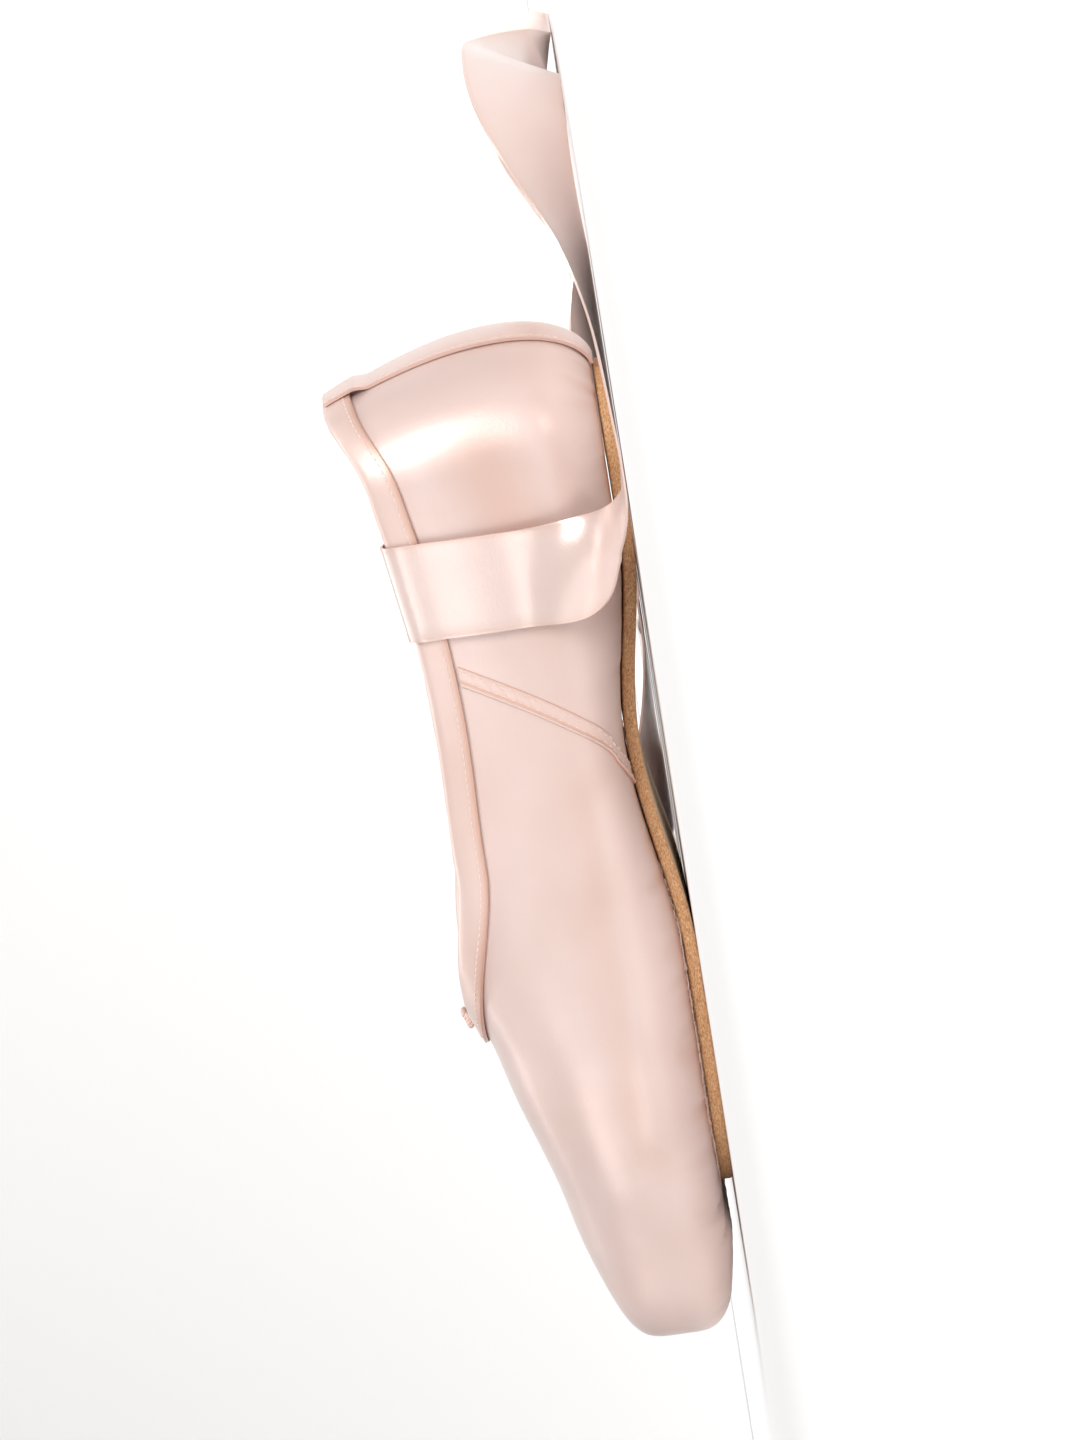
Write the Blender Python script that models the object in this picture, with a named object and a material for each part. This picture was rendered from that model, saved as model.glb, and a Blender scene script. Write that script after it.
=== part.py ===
"""A pointe shoe standing empty on its sole, with its two satin ribbons lying down beside it.

The last runs along Y: the heel is towards +Y and the toe towards -Y, and the floor is Z = 0.
The origin is the middle of the heel's flat spot, on the floor. The shoe is the same left and right.
"Along" is a distance from the back of the heel towards the toe.
Every wall, overlay and sole is worked out from one surface, the outside of the upper.
"""

import math

import bpy
import numpy as np

MM = 0.001

# Driving sizes of the last, over the outside of the upper
LENGTH = 235 * MM
HEEL_WIDTH = 57 * MM
WAIST_WIDTH = 55 * MM
BALL_WIDTH = 77 * MM
PLATFORM_WIDTH = 51 * MM
PLATFORM_TOP = 28.5 * MM
VAMP_HEIGHT = 51 * MM
INSTEP_HEIGHT = 86 * MM
HEEL_CROWN = 59 * MM
WIDEST_HEIGHT = 20 * MM
VAMP_LENGTH = 80 * MM
THROAT_DEPTH = 42 * MM
TOE_CAP_LENGTH = 24 * MM
HEEL_CAP_LENGTH = 27 * MM
TOE_SPRING = 4 * MM
ARCH_RISE = 5.5 * MM

# Walls, soles and overlays
WALL = 2.0 * MM
GAP = 0.4 * MM
SOLE_THICKNESS = 3.0 * MM
SOLE_CHAMFER = 0.5 * MM
SOLE_HEEL_INSET = 10 * MM
SOLE_FRONT_INSET = 33 * MM
SOLE_FRONT_ROUND = 33 * MM
SOLE_BALL_WIDTH = 56 * MM
SOLE_WAIST_WIDTH = 25 * MM
SOLE_HEEL_WIDTH = 38 * MM
LASTING_MARGIN = 7 * MM
INSOLE_THICKNESS = 1.6 * MM
INSOLE_CLEARANCE = 0.8 * MM
INSOLE_SHARE = 0.68
BINDING_HEIGHT = 6.0 * MM
BINDING_THICKNESS = 0.9 * MM
SEAM_TAPE_WIDTH = 4.6 * MM
SEAM_TAPE_THICKNESS = 0.6 * MM
SEAM_AT_SOLE = 92 * MM
SEAM_AT_COLLAR = 66 * MM
BACK_STRIP_WIDTH = 17 * MM
BACK_STRIP_THICKNESS = 0.6 * MM
BACK_STRIP_LOW_END = 0.27
BACK_STRIP_ROWS = 18
DRAWSTRING_DIAMETER = 1.8 * MM
DRAWSTRING_LOOP = 4.2 * MM
RIBBON_WIDTH = 22 * MM
RIBBON_THICKNESS = 0.6 * MM
RIBBON_CLEARANCE = 0.9 * MM
RIBBON_ALONG = 49 * MM
FLOOR_GAP = 0.2 * MM

# The heel's flat spot runs to where the arch begins, and the origin is on its middle
HEEL_FLAT_END = 46 * MM
BALL_FLAT_START = 142 * MM
ORIGIN_ALONG = 28 * MM

THROAT_ALONG = LENGTH - VAMP_LENGTH
TOE_CENTRE = LENGTH - TOE_CAP_LENGTH
HEEL_CENTRE = HEEL_CAP_LENGTH
SOLE_FRONT = LENGTH - SOLE_FRONT_INSET
OPENING_FRONT = SOLE_FRONT - LASTING_MARGIN
TOE_OUTLINE_POWER = 3.7
HEEL_OUTLINE_POWER = 2.15
SOLE_END_POWER = 2.2

# Half width of the last: share of LENGTH from the heel, half width
HALF_WIDTHS = [
    (0.000, 0.485 * HEEL_WIDTH),
    (0.115, 0.500 * HEEL_WIDTH),
    (0.270, 0.500 * WAIST_WIDTH),
    (0.400, 0.520 * WAIST_WIDTH),
    (0.560, 0.445 * BALL_WIDTH),
    (0.700, 0.500 * BALL_WIDTH),
    (0.810, 0.462 * BALL_WIDTH),
    (0.900, 0.590 * PLATFORM_WIDTH),
    (1.000, 0.490 * PLATFORM_WIDTH),
]

# Crown of the closed last: share of LENGTH, height. Behind the throat it only shapes the sides
CROWNS = [
    (0.000, HEEL_CROWN),
    (0.120, 0.99 * INSTEP_HEIGHT),
    (0.260, 1.00 * INSTEP_HEIGHT),
    (0.400, 0.89 * INSTEP_HEIGHT),
    (0.520, 0.76 * INSTEP_HEIGHT),
    (0.600, 1.12 * VAMP_HEIGHT),
    (0.660, 1.00 * VAMP_HEIGHT),
    (0.740, 0.90 * VAMP_HEIGHT),
    (0.820, 0.79 * VAMP_HEIGHT),
    (0.900, 1.26 * PLATFORM_TOP),
    (0.950, 1.12 * PLATFORM_TOP),
    (1.000, 1.00 * PLATFORM_TOP),
]

# Height of the widest line: share of LENGTH, height
WIDEST = [
    (0.000, 1.12 * WIDEST_HEIGHT),
    (0.250, 1.08 * WIDEST_HEIGHT),
    (0.450, 1.02 * WIDEST_HEIGHT),
    (0.700, 0.93 * WIDEST_HEIGHT),
    (0.900, 0.84 * WIDEST_HEIGHT),
    (1.000, 0.77 * WIDEST_HEIGHT),
]

# Roundness of a section: share of LENGTH, power above the widest line. A higher power is boxier
POWERS = [
    (0.000, 2.1),
    (0.250, 2.2),
    (0.500, 2.4),
    (0.700, 2.7),
    (0.850, 3.0),
    (0.940, 3.6),
    (1.000, 4.8),
]

# The underside: share of LENGTH, flat share of the half width, power of the round up to the widest line
UNDERSIDES = [
    (0.000, 0.61, 2.1),
    (0.130, 0.63, 2.1),
    (0.320, 0.44, 2.3),
    (0.470, 0.55, 2.2),
    (0.600, 0.68, 2.1),
    (0.715, 0.70, 2.1),
    (0.860, 0.60, 2.3),
    (0.940, 0.50, 2.8),
    (1.000, 0.45, 3.4),
]

# The collar's edge: share of LENGTH, share of the half width that it stands out from the middle
COLLAR = [
    (0.000, 0.600),
    (0.040, 0.715),
    (0.080, 0.825),
    (0.130, 0.890),
    (0.260, 0.925),
    (0.400, 0.905),
    (0.520, 0.850),
    (0.660, 0.800),
]

# Half width of the outsole: share of LENGTH, half width
SOLE_HALF_WIDTHS = [
    (0.000, 0.485 * SOLE_HEEL_WIDTH),
    (0.130, 0.500 * SOLE_HEEL_WIDTH),
    (0.320, 0.500 * SOLE_WAIST_WIDTH),
    (0.470, 0.310 * SOLE_BALL_WIDTH),
    (0.600, 0.455 * SOLE_BALL_WIDTH),
    (0.715, 0.500 * SOLE_BALL_WIDTH),
    (0.860, 0.480 * SOLE_BALL_WIDTH),
]

# Mesh counts
TOE_COLUMNS = 10
HEEL_COLUMNS = 8
BOTTOM_COLUMNS = 7
QUARTER_COLUMNS = 18
LOWER_ROWS = 5
UPPER_ROWS = 11
FINE_STEPS = 90
HELD_STEP = 2.2 * MM
LYING_STEP = 7.0 * MM

# How each ribbon is led: mm below the collar's edge inside and outside, degrees and arch over the edge
RIBBON_DEPTHS_INSIDE = [27, 21, 15, 9, 3]
RIBBON_TURNS_OVER_EDGE = [160, 125, 90, 55, 20]
RIBBON_ARCH = 1.15
RIBBON_DEPTHS_OUTSIDE = [5, 12, 19, 25]

# How each ribbon falls to the floor from where it leaves the wall: mm out, mm on towards its route,
# share of the height, turn of its width from lengthways in degrees, lean of its width in degrees
RIBBON_FALL = [
    (4, 1, 0.62, 8, 4),
    (10, 5, 0.29, 34, 8),
    (15, 12, 0.09, 68, 4),
]

# The right ribbon once it has left the shoe's side: it lands, runs back past the heel, curls round behind it
# and comes forward on the other side. Metres of x and y, and degrees that it leans on one edge
RIGHT_RIBBON_FLOOR = [
    (0.0510, 0.000, 0),
    (0.0520, 0.018, 0),
    (0.0510, 0.036, -4),
    (0.0460, 0.054, -20),
    (0.0350, 0.071, -48),
    (0.0170, 0.082, -66),
    (-0.0020, 0.086, -66),
    (-0.0210, 0.083, -50),
    (-0.0390, 0.077, -14),
    (-0.0560, 0.073, 16),
    (-0.0740, 0.074, 8),
    (-0.0910, 0.073, -34),
    (-0.1050, 0.063, -56),
    (-0.1110, 0.046, -46),
    (-0.1080, 0.028, -12),
    (-0.1020, 0.010, 14),
    (-0.1000, -0.008, 10),
    (-0.1040, -0.026, 0),
]

# The left ribbon runs forward past the ball, turns outwards and comes back beside itself
LEFT_RIBBON_FLOOR = [
    (-0.0510, -0.042, 0),
    (-0.0520, -0.060, 3),
    (-0.0550, -0.078, 14),
    (-0.0610, -0.095, 22),
    (-0.0670, -0.112, 6),
    (-0.0690, -0.130, -14),
    (-0.0670, -0.149, -22),
    (-0.0660, -0.168, -34),
    (-0.0720, -0.186, -54),
    (-0.0860, -0.197, -64),
    (-0.1030, -0.193, -58),
    (-0.1120, -0.178, -30),
    (-0.1120, -0.160, 4),
    (-0.1060, -0.143, 24),
    (-0.1020, -0.125, 16),
    (-0.1050, -0.107, -6),
    (-0.1100, -0.089, -4),
    (-0.1080, -0.071, 0),
]


def clear_scene():
    """Starts from an empty scene."""
    for obj in list(bpy.data.objects):
        bpy.data.objects.remove(obj)


def spline(table, share, column=1):
    """A natural cubic through a short table, at one share or many."""
    x = np.array([row[0] for row in table])
    y = np.array([row[column] for row in table])
    h = np.diff(x)
    size = len(x)
    matrix = np.eye(size)
    right = np.zeros(size)
    for i in range(1, size - 1):
        matrix[i, i - 1 : i + 2] = h[i - 1], 2 * (h[i - 1] + h[i]), h[i]
        right[i] = 6 * ((y[i + 1] - y[i]) / h[i] - (y[i] - y[i - 1]) / h[i - 1])
    bend = np.linalg.solve(matrix, right)
    share = np.clip(share, x[0], x[-1])
    i = np.clip(np.searchsorted(x, share) - 1, 0, size - 2)
    a = (x[i + 1] - share) / h[i]
    b = (share - x[i]) / h[i]
    curve = ((a**3 - a) * bend[i] + (b**3 - b) * bend[i + 1]) * h[i] ** 2 / 6
    return a * y[i] + b * y[i + 1] + curve


def smoothstep(start, end, value):
    """0 before start, 1 after end, and smooth between."""
    t = np.clip((value - start) / (end - start), 0, 1)
    return t * t * (3 - 2 * t)


def sole_bottom(along):
    """Height of the outsole's underside: flat under heel and ball, and raised under the arch."""
    t = np.clip((along - HEEL_FLAT_END) / (BALL_FLAT_START - HEEL_FLAT_END), 0, 1)
    return ARCH_RISE * np.sin(math.pi * t) ** 2


def upper_bottom(along):
    """Height of the underside on the middle line. It drops in front of the outsole, then springs up."""
    stack = SOLE_THICKNESS + GAP
    drop = 0.5 * smoothstep(SOLE_FRONT, SOLE_FRONT + 3 * SOLE_THICKNESS, along)
    spring = np.clip((along - OPENING_FRONT) / (LENGTH - OPENING_FRONT), 0, 1) ** 2
    return sole_bottom(along) + stack * (1 - drop) + TOE_SPRING * spring


def half_width(along):
    return spline(HALF_WIDTHS, along / LENGTH)


def rounded_end(distance, reach, power):
    """Share of the width left at a distance into a rounded end of that reach."""
    t = np.clip(distance / reach, 0, 1)
    return (1 - t**power) ** (1 / power)


def sole_half_width(along):
    """The outsole's half width between its two end centres, and round its front end."""
    front = rounded_end(along - (SOLE_FRONT - SOLE_FRONT_ROUND), SOLE_FRONT_ROUND, SOLE_END_POWER)
    return spline(SOLE_HALF_WIDTHS, along / LENGTH) * front


def opening_half_width(along):
    """The lasting opening underneath is the outsole's outline less a margin."""
    front = rounded_end(along - (SOLE_FRONT - SOLE_FRONT_ROUND), SOLE_FRONT_ROUND - LASTING_MARGIN, 2)
    return np.maximum(spline(SOLE_HALF_WIDTHS, along / LENGTH) - LASTING_MARGIN, 0) * front


def throat(along):
    """1 beside the foot, and down to 0 at the throat's front."""
    return rounded_end(along - (THROAT_ALONG - THROAT_DEPTH), THROAT_DEPTH, 2)


def arc_positions(points):
    """Distance of each point along a polyline."""
    return np.concatenate([[0], np.cumsum(np.linalg.norm(np.diff(points, axis=0), axis=1))])


def at_arcs(points, arcs):
    """Points at those distances along a polyline."""
    position = arc_positions(points)
    return np.stack([np.interp(arcs, position, points[:, k]) for k in range(points.shape[1])], axis=1)


def cap_outline(count, centre, reach, power):
    """A rounded end of the outline, in plan, from its side to its tip: rows of half width and along.
    A positive reach is towards the toe, and a negative one towards the back of the heel."""
    angle = np.linspace(0, math.pi / 2, 400)
    along = centre + reach * np.sin(angle) ** (2 / power)
    across = half_width(along) * np.cos(angle) ** (2 / power)
    fine = np.stack([across, along], axis=1)
    fine[-1, 0] = 0
    return at_arcs(fine, np.linspace(0, arc_positions(fine)[-1], count + 1))


def heel_cap_arcs():
    """Distances round the heel cap, so that one column lies on the back strip's edge."""
    fine = cap_outline(200, HEEL_CENTRE, -HEEL_CAP_LENGTH, HEEL_OUTLINE_POWER)
    total = arc_positions(fine)[-1]
    strip = total - BACK_STRIP_WIDTH / 2
    arcs = np.concatenate(
        [np.linspace(0, strip, HEEL_COLUMNS - 2), np.linspace(strip, total, 4)[1:]]
    )
    return at_arcs(fine, arcs)


def eased(start, end, count):
    """Stations from start to end, closer together near start."""
    t = 1 - np.cos(np.linspace(0, math.pi / 2, count + 1))
    return start + (end - start) * t


def make_column(across, along, centre):
    """One line of the upper, from its underside up to the collar or the middle of the vamp.
    It starts from the outline point and runs in plan along the line to the centre."""
    share = along / LENGTH
    reach = math.hypot(across, along - centre)
    if centre == HEEL_CENTRE:
        a = float(sole_half_width(HEEL_CENTRE))
        b = HEEL_CENTRE - SOLE_HEEL_INSET
        x, y = across / reach, (centre - along) / reach
        sole = (x**SOLE_END_POWER / a**SOLE_END_POWER + y**SOLE_END_POWER / b**SOLE_END_POWER) ** (
            -1 / SOLE_END_POWER
        )
        low = (sole - LASTING_MARGIN) / reach
    elif along < OPENING_FRONT:
        low = float(opening_half_width(along)) / across
    else:
        low = 0.0
    high = 0.0
    if along < THROAT_ALONG:
        high = float(spline(COLLAR, share) * throat(along))
    return {
        "across": across,
        "along": along,
        "centre": centre,
        "low": low,
        "high": high,
        "above": float(spline(POWERS, share)),
        "flat": float(spline(UNDERSIDES, share, 1)),
        "below": float(spline(UNDERSIDES, share, 2)),
    }


def drop_below(share, flat, power):
    """How far down a section is at a share of its half width: 1 where flat, and 0 at the widest line."""
    t = np.clip((share - flat) / (1 - flat), 0, 1)
    return (1 - t**power) ** (1 / power)


def column_points(column, shares, upper):
    """Points of a column at shares of the way out from its centre, as x, along and z."""
    across = column["across"] * shares
    along = column["centre"] + (column["along"] - column["centre"]) * shares
    widest = spline(WIDEST, along / LENGTH)
    if upper:
        power = column["above"]
        rise = (1 - np.clip(shares, 0, 1) ** power) ** (1 / power)
        z = widest + (spline(CROWNS, along / LENGTH) - widest) * rise
    else:
        z = widest - (widest - upper_bottom(along)) * drop_below(shares, column["flat"], column["below"])
    return np.stack([across, along, z], axis=1)


def lower_line(column):
    """From the lasting opening out to the widest line, closely spaced."""
    angle = np.linspace(0, math.pi / 2, FINE_STEPS)
    rounded = column["flat"] + (1 - column["flat"]) * np.sin(angle) ** (2 / column["below"])
    level = np.linspace(column["low"], column["flat"], FINE_STEPS // 2)
    shares = np.concatenate([level[:-1], rounded]) if column["low"] < column["flat"] else rounded
    return column_points(column, shares, upper=False)


def upper_line(column):
    """From the widest line up to the collar, or to the middle of the vamp, closely spaced."""
    power = column["above"]
    last = math.acos(min(1.0, column["high"] ** (power / 2)))
    shares = np.cos(np.linspace(0, last, FINE_STEPS)) ** (2 / power)
    shares[-1] = column["high"]
    return column_points(column, shares, upper=True)


def shoe_columns():
    """The columns of the shoe's right half, from the middle of the toe round to the middle of the heel."""
    rows = []
    toe = cap_outline(TOE_COLUMNS, TOE_CENTRE, TOE_CAP_LENGTH, TOE_OUTLINE_POWER)[::-1]
    rows += [(x, along, TOE_CENTRE) for x, along in toe]
    bottom = eased(OPENING_FRONT, THROAT_ALONG, BOTTOM_COLUMNS)
    quarter = eased(THROAT_ALONG, HEEL_CENTRE, QUARTER_COLUMNS)
    before = (TOE_CENTRE + OPENING_FRONT) / 2
    for along in [before, *bottom, *quarter[1:-1]]:
        rows.append((float(half_width(along)), float(along), float(along)))
    rows += [(x, along, HEEL_CENTRE) for x, along in heel_cap_arcs()]
    return [make_column(*row) for row in rows]


def column_rows(column):
    """A column at the upper's own rows, evenly spaced below and above the widest line."""
    low, high = lower_line(column), upper_line(column)
    below = at_arcs(low, np.linspace(0, arc_positions(low)[-1], LOWER_ROWS + 1))
    above = at_arcs(high, np.linspace(0, arc_positions(high)[-1], UPPER_ROWS + 1))
    return np.concatenate([below, above[1:]])


def mirrored_loop(half):
    """Closes a half, given as columns of rows, into a loop round the whole shoe."""
    other = half[::-1][1:-1] * np.array([-1, 1, 1])
    return np.concatenate([half, other])


def normals_of(loop):
    """Outward normals of a closed loop of columns."""
    sideways = np.roll(loop, -1, axis=0) - np.roll(loop, 1, axis=0)
    up = np.gradient(loop, axis=1)
    normal = np.cross(up, sideways)
    length = np.linalg.norm(normal, axis=2, keepdims=True)
    return normal / np.maximum(length, 1e-12)


def flatten_on_middle(loop, normal):
    """Keeps the middle line's normals in its plane, and makes all the columns that meet in a point agree."""
    middle = np.abs(loop[:, :, 0]) < 1e-9
    normal[middle, 0] = 0
    found = {}
    for key, i, j in sorted((tuple(np.round(loop[i, j], 7)), i, j) for i, j in np.argwhere(middle)):
        found.setdefault(key, []).append((i, j))
    for places in found.values():
        mean = sum(normal[i, j] for i, j in places)
        size = np.linalg.norm(mean)
        for i, j in places:
            normal[i, j] = mean / size if size > 1e-9 else (0, 0, 1)
    return normal / np.linalg.norm(normal, axis=2, keepdims=True)


def world(points):
    """From x, along and z to the shoe's own frame."""
    return np.stack([points[..., 0], ORIGIN_ALONG - points[..., 1], points[..., 2]], axis=-1)


def material(name, colour, roughness):
    made = bpy.data.materials.new(name)
    made.use_nodes = True
    shader = made.node_tree.nodes["Principled BSDF"]
    shader.inputs["Base Color"].default_value = (*colour, 1)
    shader.inputs["Roughness"].default_value = roughness
    shader.inputs["Metallic"].default_value = 0
    return made


def add_object(name, vertices, faces, finish):
    mesh = bpy.data.meshes.new(name)
    mesh.from_pydata([tuple(v) for v in vertices], [], faces)
    mesh.shade_smooth()
    mesh.set_sharp_from_angle(angle=math.radians(40))
    mesh.materials.append(finish)
    obj = bpy.data.objects.new(name, mesh)
    bpy.context.scene.collection.objects.link(obj)
    return obj


def cut_short(face, vertices):
    """A face of four corners as two triangles, cut along its shorter diagonal."""
    if len(set(face)) < 4:
        return [face]
    a, b, c, d = (np.array(vertices[n]) for n in face)
    if np.linalg.norm(a - c) <= np.linalg.norm(b - d):
        return [[face[0], face[1], face[2]], [face[0], face[2], face[3]]]
    return [[face[0], face[1], face[3]], [face[1], face[2], face[3]]]


def skin(name, rings, finish, round_trip, caps=False):
    """A solid from rings of points, each closed on itself. Points that fall together become one, and
    faces that lie on the shoe's middle plane are left out, because its two halves are one piece there."""
    index = {}
    vertices = []

    def vertex(point):
        key = tuple(int(round(c / (0.001 * MM))) for c in point)
        if key not in index:
            index[key] = len(vertices)
            vertices.append(point)
        return index[key]

    ids = [[vertex(point) for point in ring] for ring in rings]
    count = len(rings[0])
    faces = []
    for i in range(len(rings) if round_trip else len(rings) - 1):
        here, there = ids[i], ids[(i + 1) % len(rings)]
        for j in range(count):
            k = (j + 1) % count
            corners = [here[j], here[k], there[k], there[j]]
            face = [c for n, c in enumerate(corners) if c != corners[n - 1]]
            if len(set(face)) < 3:
                continue
            for part in cut_short(face, vertices):
                if any(abs(vertices[c][0]) > 1e-7 for c in part):
                    faces.append(part)
    if caps:
        faces.append(ids[0][::-1])
        faces.append(ids[-1])
    obj = add_object(name, vertices, faces, finish)
    if signed_volume(obj.data) < 0:
        obj.data.flip_normals()
    return obj


def signed_volume(mesh):
    mesh.calc_loop_triangles()
    points = np.array([v.co[:] for v in mesh.vertices])
    corners = points[np.array([t.vertices[:] for t in mesh.loop_triangles])]
    return float(np.linalg.det(corners).sum() / 6)


def top_point(share, along):
    """A point on the outside of the upper, above the widest line, at a share of the half width."""
    power = float(spline(POWERS, along / LENGTH))
    widest = float(spline(WIDEST, along / LENGTH))
    rise = (1 - min(abs(share), 1) ** power) ** (1 / power)
    z = widest + (float(spline(CROWNS, along / LENGTH)) - widest) * rise
    return np.array([share * float(half_width(along)), along, z])


def top_normal(share, along):
    """The outward normal there."""
    probe = 0.01
    by_share = top_point(share + probe, along) - top_point(share - probe, along)
    by_along = top_point(share, along + MM) - top_point(share, along - MM)
    normal = np.cross(by_along, by_share)
    return normal * np.sign(normal[2]) / np.linalg.norm(normal)


def exact_on_top(columns, loop, normal):
    """Puts the surface's own normals on the upper half, where collar and columns run almost together."""
    count = len(loop)
    for i, column in enumerate(columns):
        if column["centre"] != column["along"]:
            continue
        for j in range(LOWER_ROWS + 1, LOWER_ROWS + UPPER_ROWS + 1):
            share = loop[i, j, 0] / column["across"]
            if share < 0.95:
                normal[i, j] = top_normal(share, column["along"])
                normal[-i % count, j] = normal[i, j] * np.array([-1, 1, 1])
    return normal


def build_upper(columns, finish):
    """The hollow wall: outside, collar rim, inside and the rim of the lasting opening."""
    outside = mirrored_loop(np.array([column_rows(c) for c in columns]))
    normal = flatten_on_middle(outside, exact_on_top(columns, outside, normals_of(outside)))
    inside = outside - normal * WALL
    rings = world(np.concatenate([outside, inside[:, ::-1]], axis=1))
    return skin("upper", rings, finish, round_trip=True)


def last_share(across, along):
    """How far out a plan point of the sole lies, as a share of the last's outline."""
    side = np.abs(across) / half_width(np.maximum(along, HEEL_CENTRE))
    back = np.clip(HEEL_CENTRE - along, 0, None) / HEEL_CAP_LENGTH
    return (side**HEEL_OUTLINE_POWER + back**HEEL_OUTLINE_POWER) ** (1 / HEEL_OUTLINE_POWER)


def underside(across, along):
    """Height of the upper's underside over a plan point of the sole."""
    share = last_share(across, along)
    flat = spline(UNDERSIDES, along / LENGTH, 1)
    power = spline(UNDERSIDES, along / LENGTH, 2)
    widest = spline(WIDEST, along / LENGTH)
    return widest - (widest - upper_bottom(along)) * drop_below(share, flat, power)


def sole_outline():
    """The outsole's right half in plan, from its front tip round to its heel end, with each row's centre."""
    front_centre = SOLE_FRONT - SOLE_FRONT_ROUND
    angle = np.linspace(math.pi / 2, 0, 9)
    along = front_centre + SOLE_FRONT_ROUND * np.sin(angle) ** (2 / SOLE_END_POWER)
    width = spline(SOLE_HALF_WIDTHS, along / LENGTH) * np.cos(angle) ** (2 / SOLE_END_POWER)
    rows = [(w if i else 0.0, a, front_centre) for i, (w, a) in enumerate(zip(width, along))]
    for a in np.linspace(front_centre, HEEL_CENTRE, 20)[1:-1]:
        rows.append((float(sole_half_width(a)), float(a), float(a)))
    angle = np.linspace(0, math.pi / 2, 9)
    along = HEEL_CENTRE - (HEEL_CENTRE - SOLE_HEEL_INSET) * np.sin(angle) ** (2 / SOLE_END_POWER)
    width = spline(SOLE_HALF_WIDTHS, along / LENGTH) * np.cos(angle) ** (2 / SOLE_END_POWER)
    rows += [(w if i < 8 else 0.0, a, HEEL_CENTRE) for i, (w, a) in enumerate(zip(width, along))]
    return rows


def build_outsole(finish):
    """A leather plate under the upper's own underside, with eased edges."""
    half = []
    for across, along, centre in sole_outline():
        reach = math.hypot(across, along - centre)
        inner = 1 - SOLE_CHAMFER / reach
        ring = []
        for share in (0, 0.5, inner):
            x, q = across * share, centre + (along - centre) * share
            ring.append((x, q, float(sole_bottom(q))))
        top = []
        for share in (inner, 0.5, 0):
            x, q = across * share, centre + (along - centre) * share
            flat = float(sole_bottom(q)) + SOLE_THICKNESS
            z = min(float(underside(x, q)) - GAP, flat + SOLE_CHAMFER)
            top.append((x, q, z))
        side = float(sole_bottom(along))
        ring.append((across, along, side + SOLE_CHAMFER))
        ring.append((across, along, top[0][2] - SOLE_CHAMFER))
        half.append(ring + top)
    rings = world(mirrored_loop(np.array(half)))
    return skin("outsole", rings, finish, round_trip=True)


def build_insole(columns, finish):
    """The sock board, dished to the inside of the upper."""
    half = []
    for column in columns:
        shares = np.array([0, 0.4, 0.7, 1.0]) * INSOLE_SHARE
        under = column_points(column, shares, upper=False)
        under[:, 2] += WALL + INSOLE_CLEARANCE
        over = under[::-1] + np.array([0, 0, INSOLE_THICKNESS])
        half.append(np.concatenate([under, over]))
    rings = world(mirrored_loop(np.array(half)))
    return skin("insole", rings, finish, round_trip=True)


def descend(share, along, tangent, depths):
    """Points at those depths below the collar's edge, going down the surface square to the edge."""
    points, done, probe = [top_point(share, along)], 0.0, 0.01
    for depth in depths[1:]:
        steps = max(1, int(round((depth - done) / MM)))
        for _ in range(steps):
            here = top_point(share, along)
            by_share = (top_point(share + probe, along) - here) / probe
            by_along = (top_point(share, along + probe * MM) - here) / (probe * MM)
            down = np.cross(tangent, np.cross(by_share, by_along))
            down *= (depth - done) / steps / np.linalg.norm(down)
            if down @ by_share + down @ by_along * LENGTH < 0:
                down = -down
            move = np.linalg.lstsq(np.stack([by_share, by_along], axis=1), down, rcond=None)[0]
            share, along = share + move[0], along + move[1]
        done = depth
        points.append(top_point(share, along))
    return np.array(points)


def collar_grid(columns, depths):
    """Points on the outside of the upper at those depths below the collar's edge, round the whole collar,
    with their normals and the direction that leads up over the edge."""
    edge = mirrored_loop(np.array([upper_line(c)[-1:] for c in columns]))[:, 0]
    tangents = np.roll(edge, -1, axis=0) - np.roll(edge, 1, axis=0)
    half = []
    for column, tangent in zip(columns, tangents):
        if column["centre"] == HEEL_CENTRE:
            half.append(at_arcs(upper_line(column)[::-1], np.array(depths)))
        else:
            half.append(descend(column["high"], column["along"], tangent, depths))
    loop = mirrored_loop(np.array(half))
    normal = -normals_of(loop)
    normal[np.abs(loop[:, :, 0]) < 1e-9, 0] = 0
    normal /= np.linalg.norm(normal, axis=2, keepdims=True)
    up = loop[:, 0] - loop[:, 1]
    up /= np.linalg.norm(up, axis=1, keepdims=True)
    return loop, normal, up


def build_binding(columns, finish):
    """The satin casing, folded over the collar's edge with a leg outside and a leg inside."""
    collar = [c for c in columns if c["along"] <= THROAT_ALONG + 1e-9]
    depths = [0, BINDING_HEIGHT / 2, BINDING_HEIGHT]
    loop, normal, up = collar_grid(collar, depths)
    near, far = GAP, GAP + BINDING_THICKNESS
    deep, deeper = -(WALL + 1.8 * GAP), -(WALL + 1.8 * GAP + BINDING_THICKNESS)
    middle = -WALL / 2
    rings = []
    for points, out, over in zip(loop, normal, up):
        edge = points[0]
        ring = [points[k] + out[k] * far for k in (2, 1, 0)]
        ring.append(edge + out[0] * (near + middle) / 2 + over * far * 0.85)
        ring.append(edge + out[0] * middle + over * far)
        ring.append(edge + out[0] * (deep + middle) / 2 + over * far * 0.85)
        ring += [points[k] + out[k] * deeper for k in (0, 1, 2)]
        ring += [points[k] + out[k] * deep for k in (2, 1, 0)]
        ring.append(edge + out[0] * middle + over * 1.2 * near)
        ring += [points[k] + out[k] * near for k in (0, 1, 2)]
        rings.append(ring)
    return skin("binding", world(np.array(rings)), finish, round_trip=True)


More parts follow.
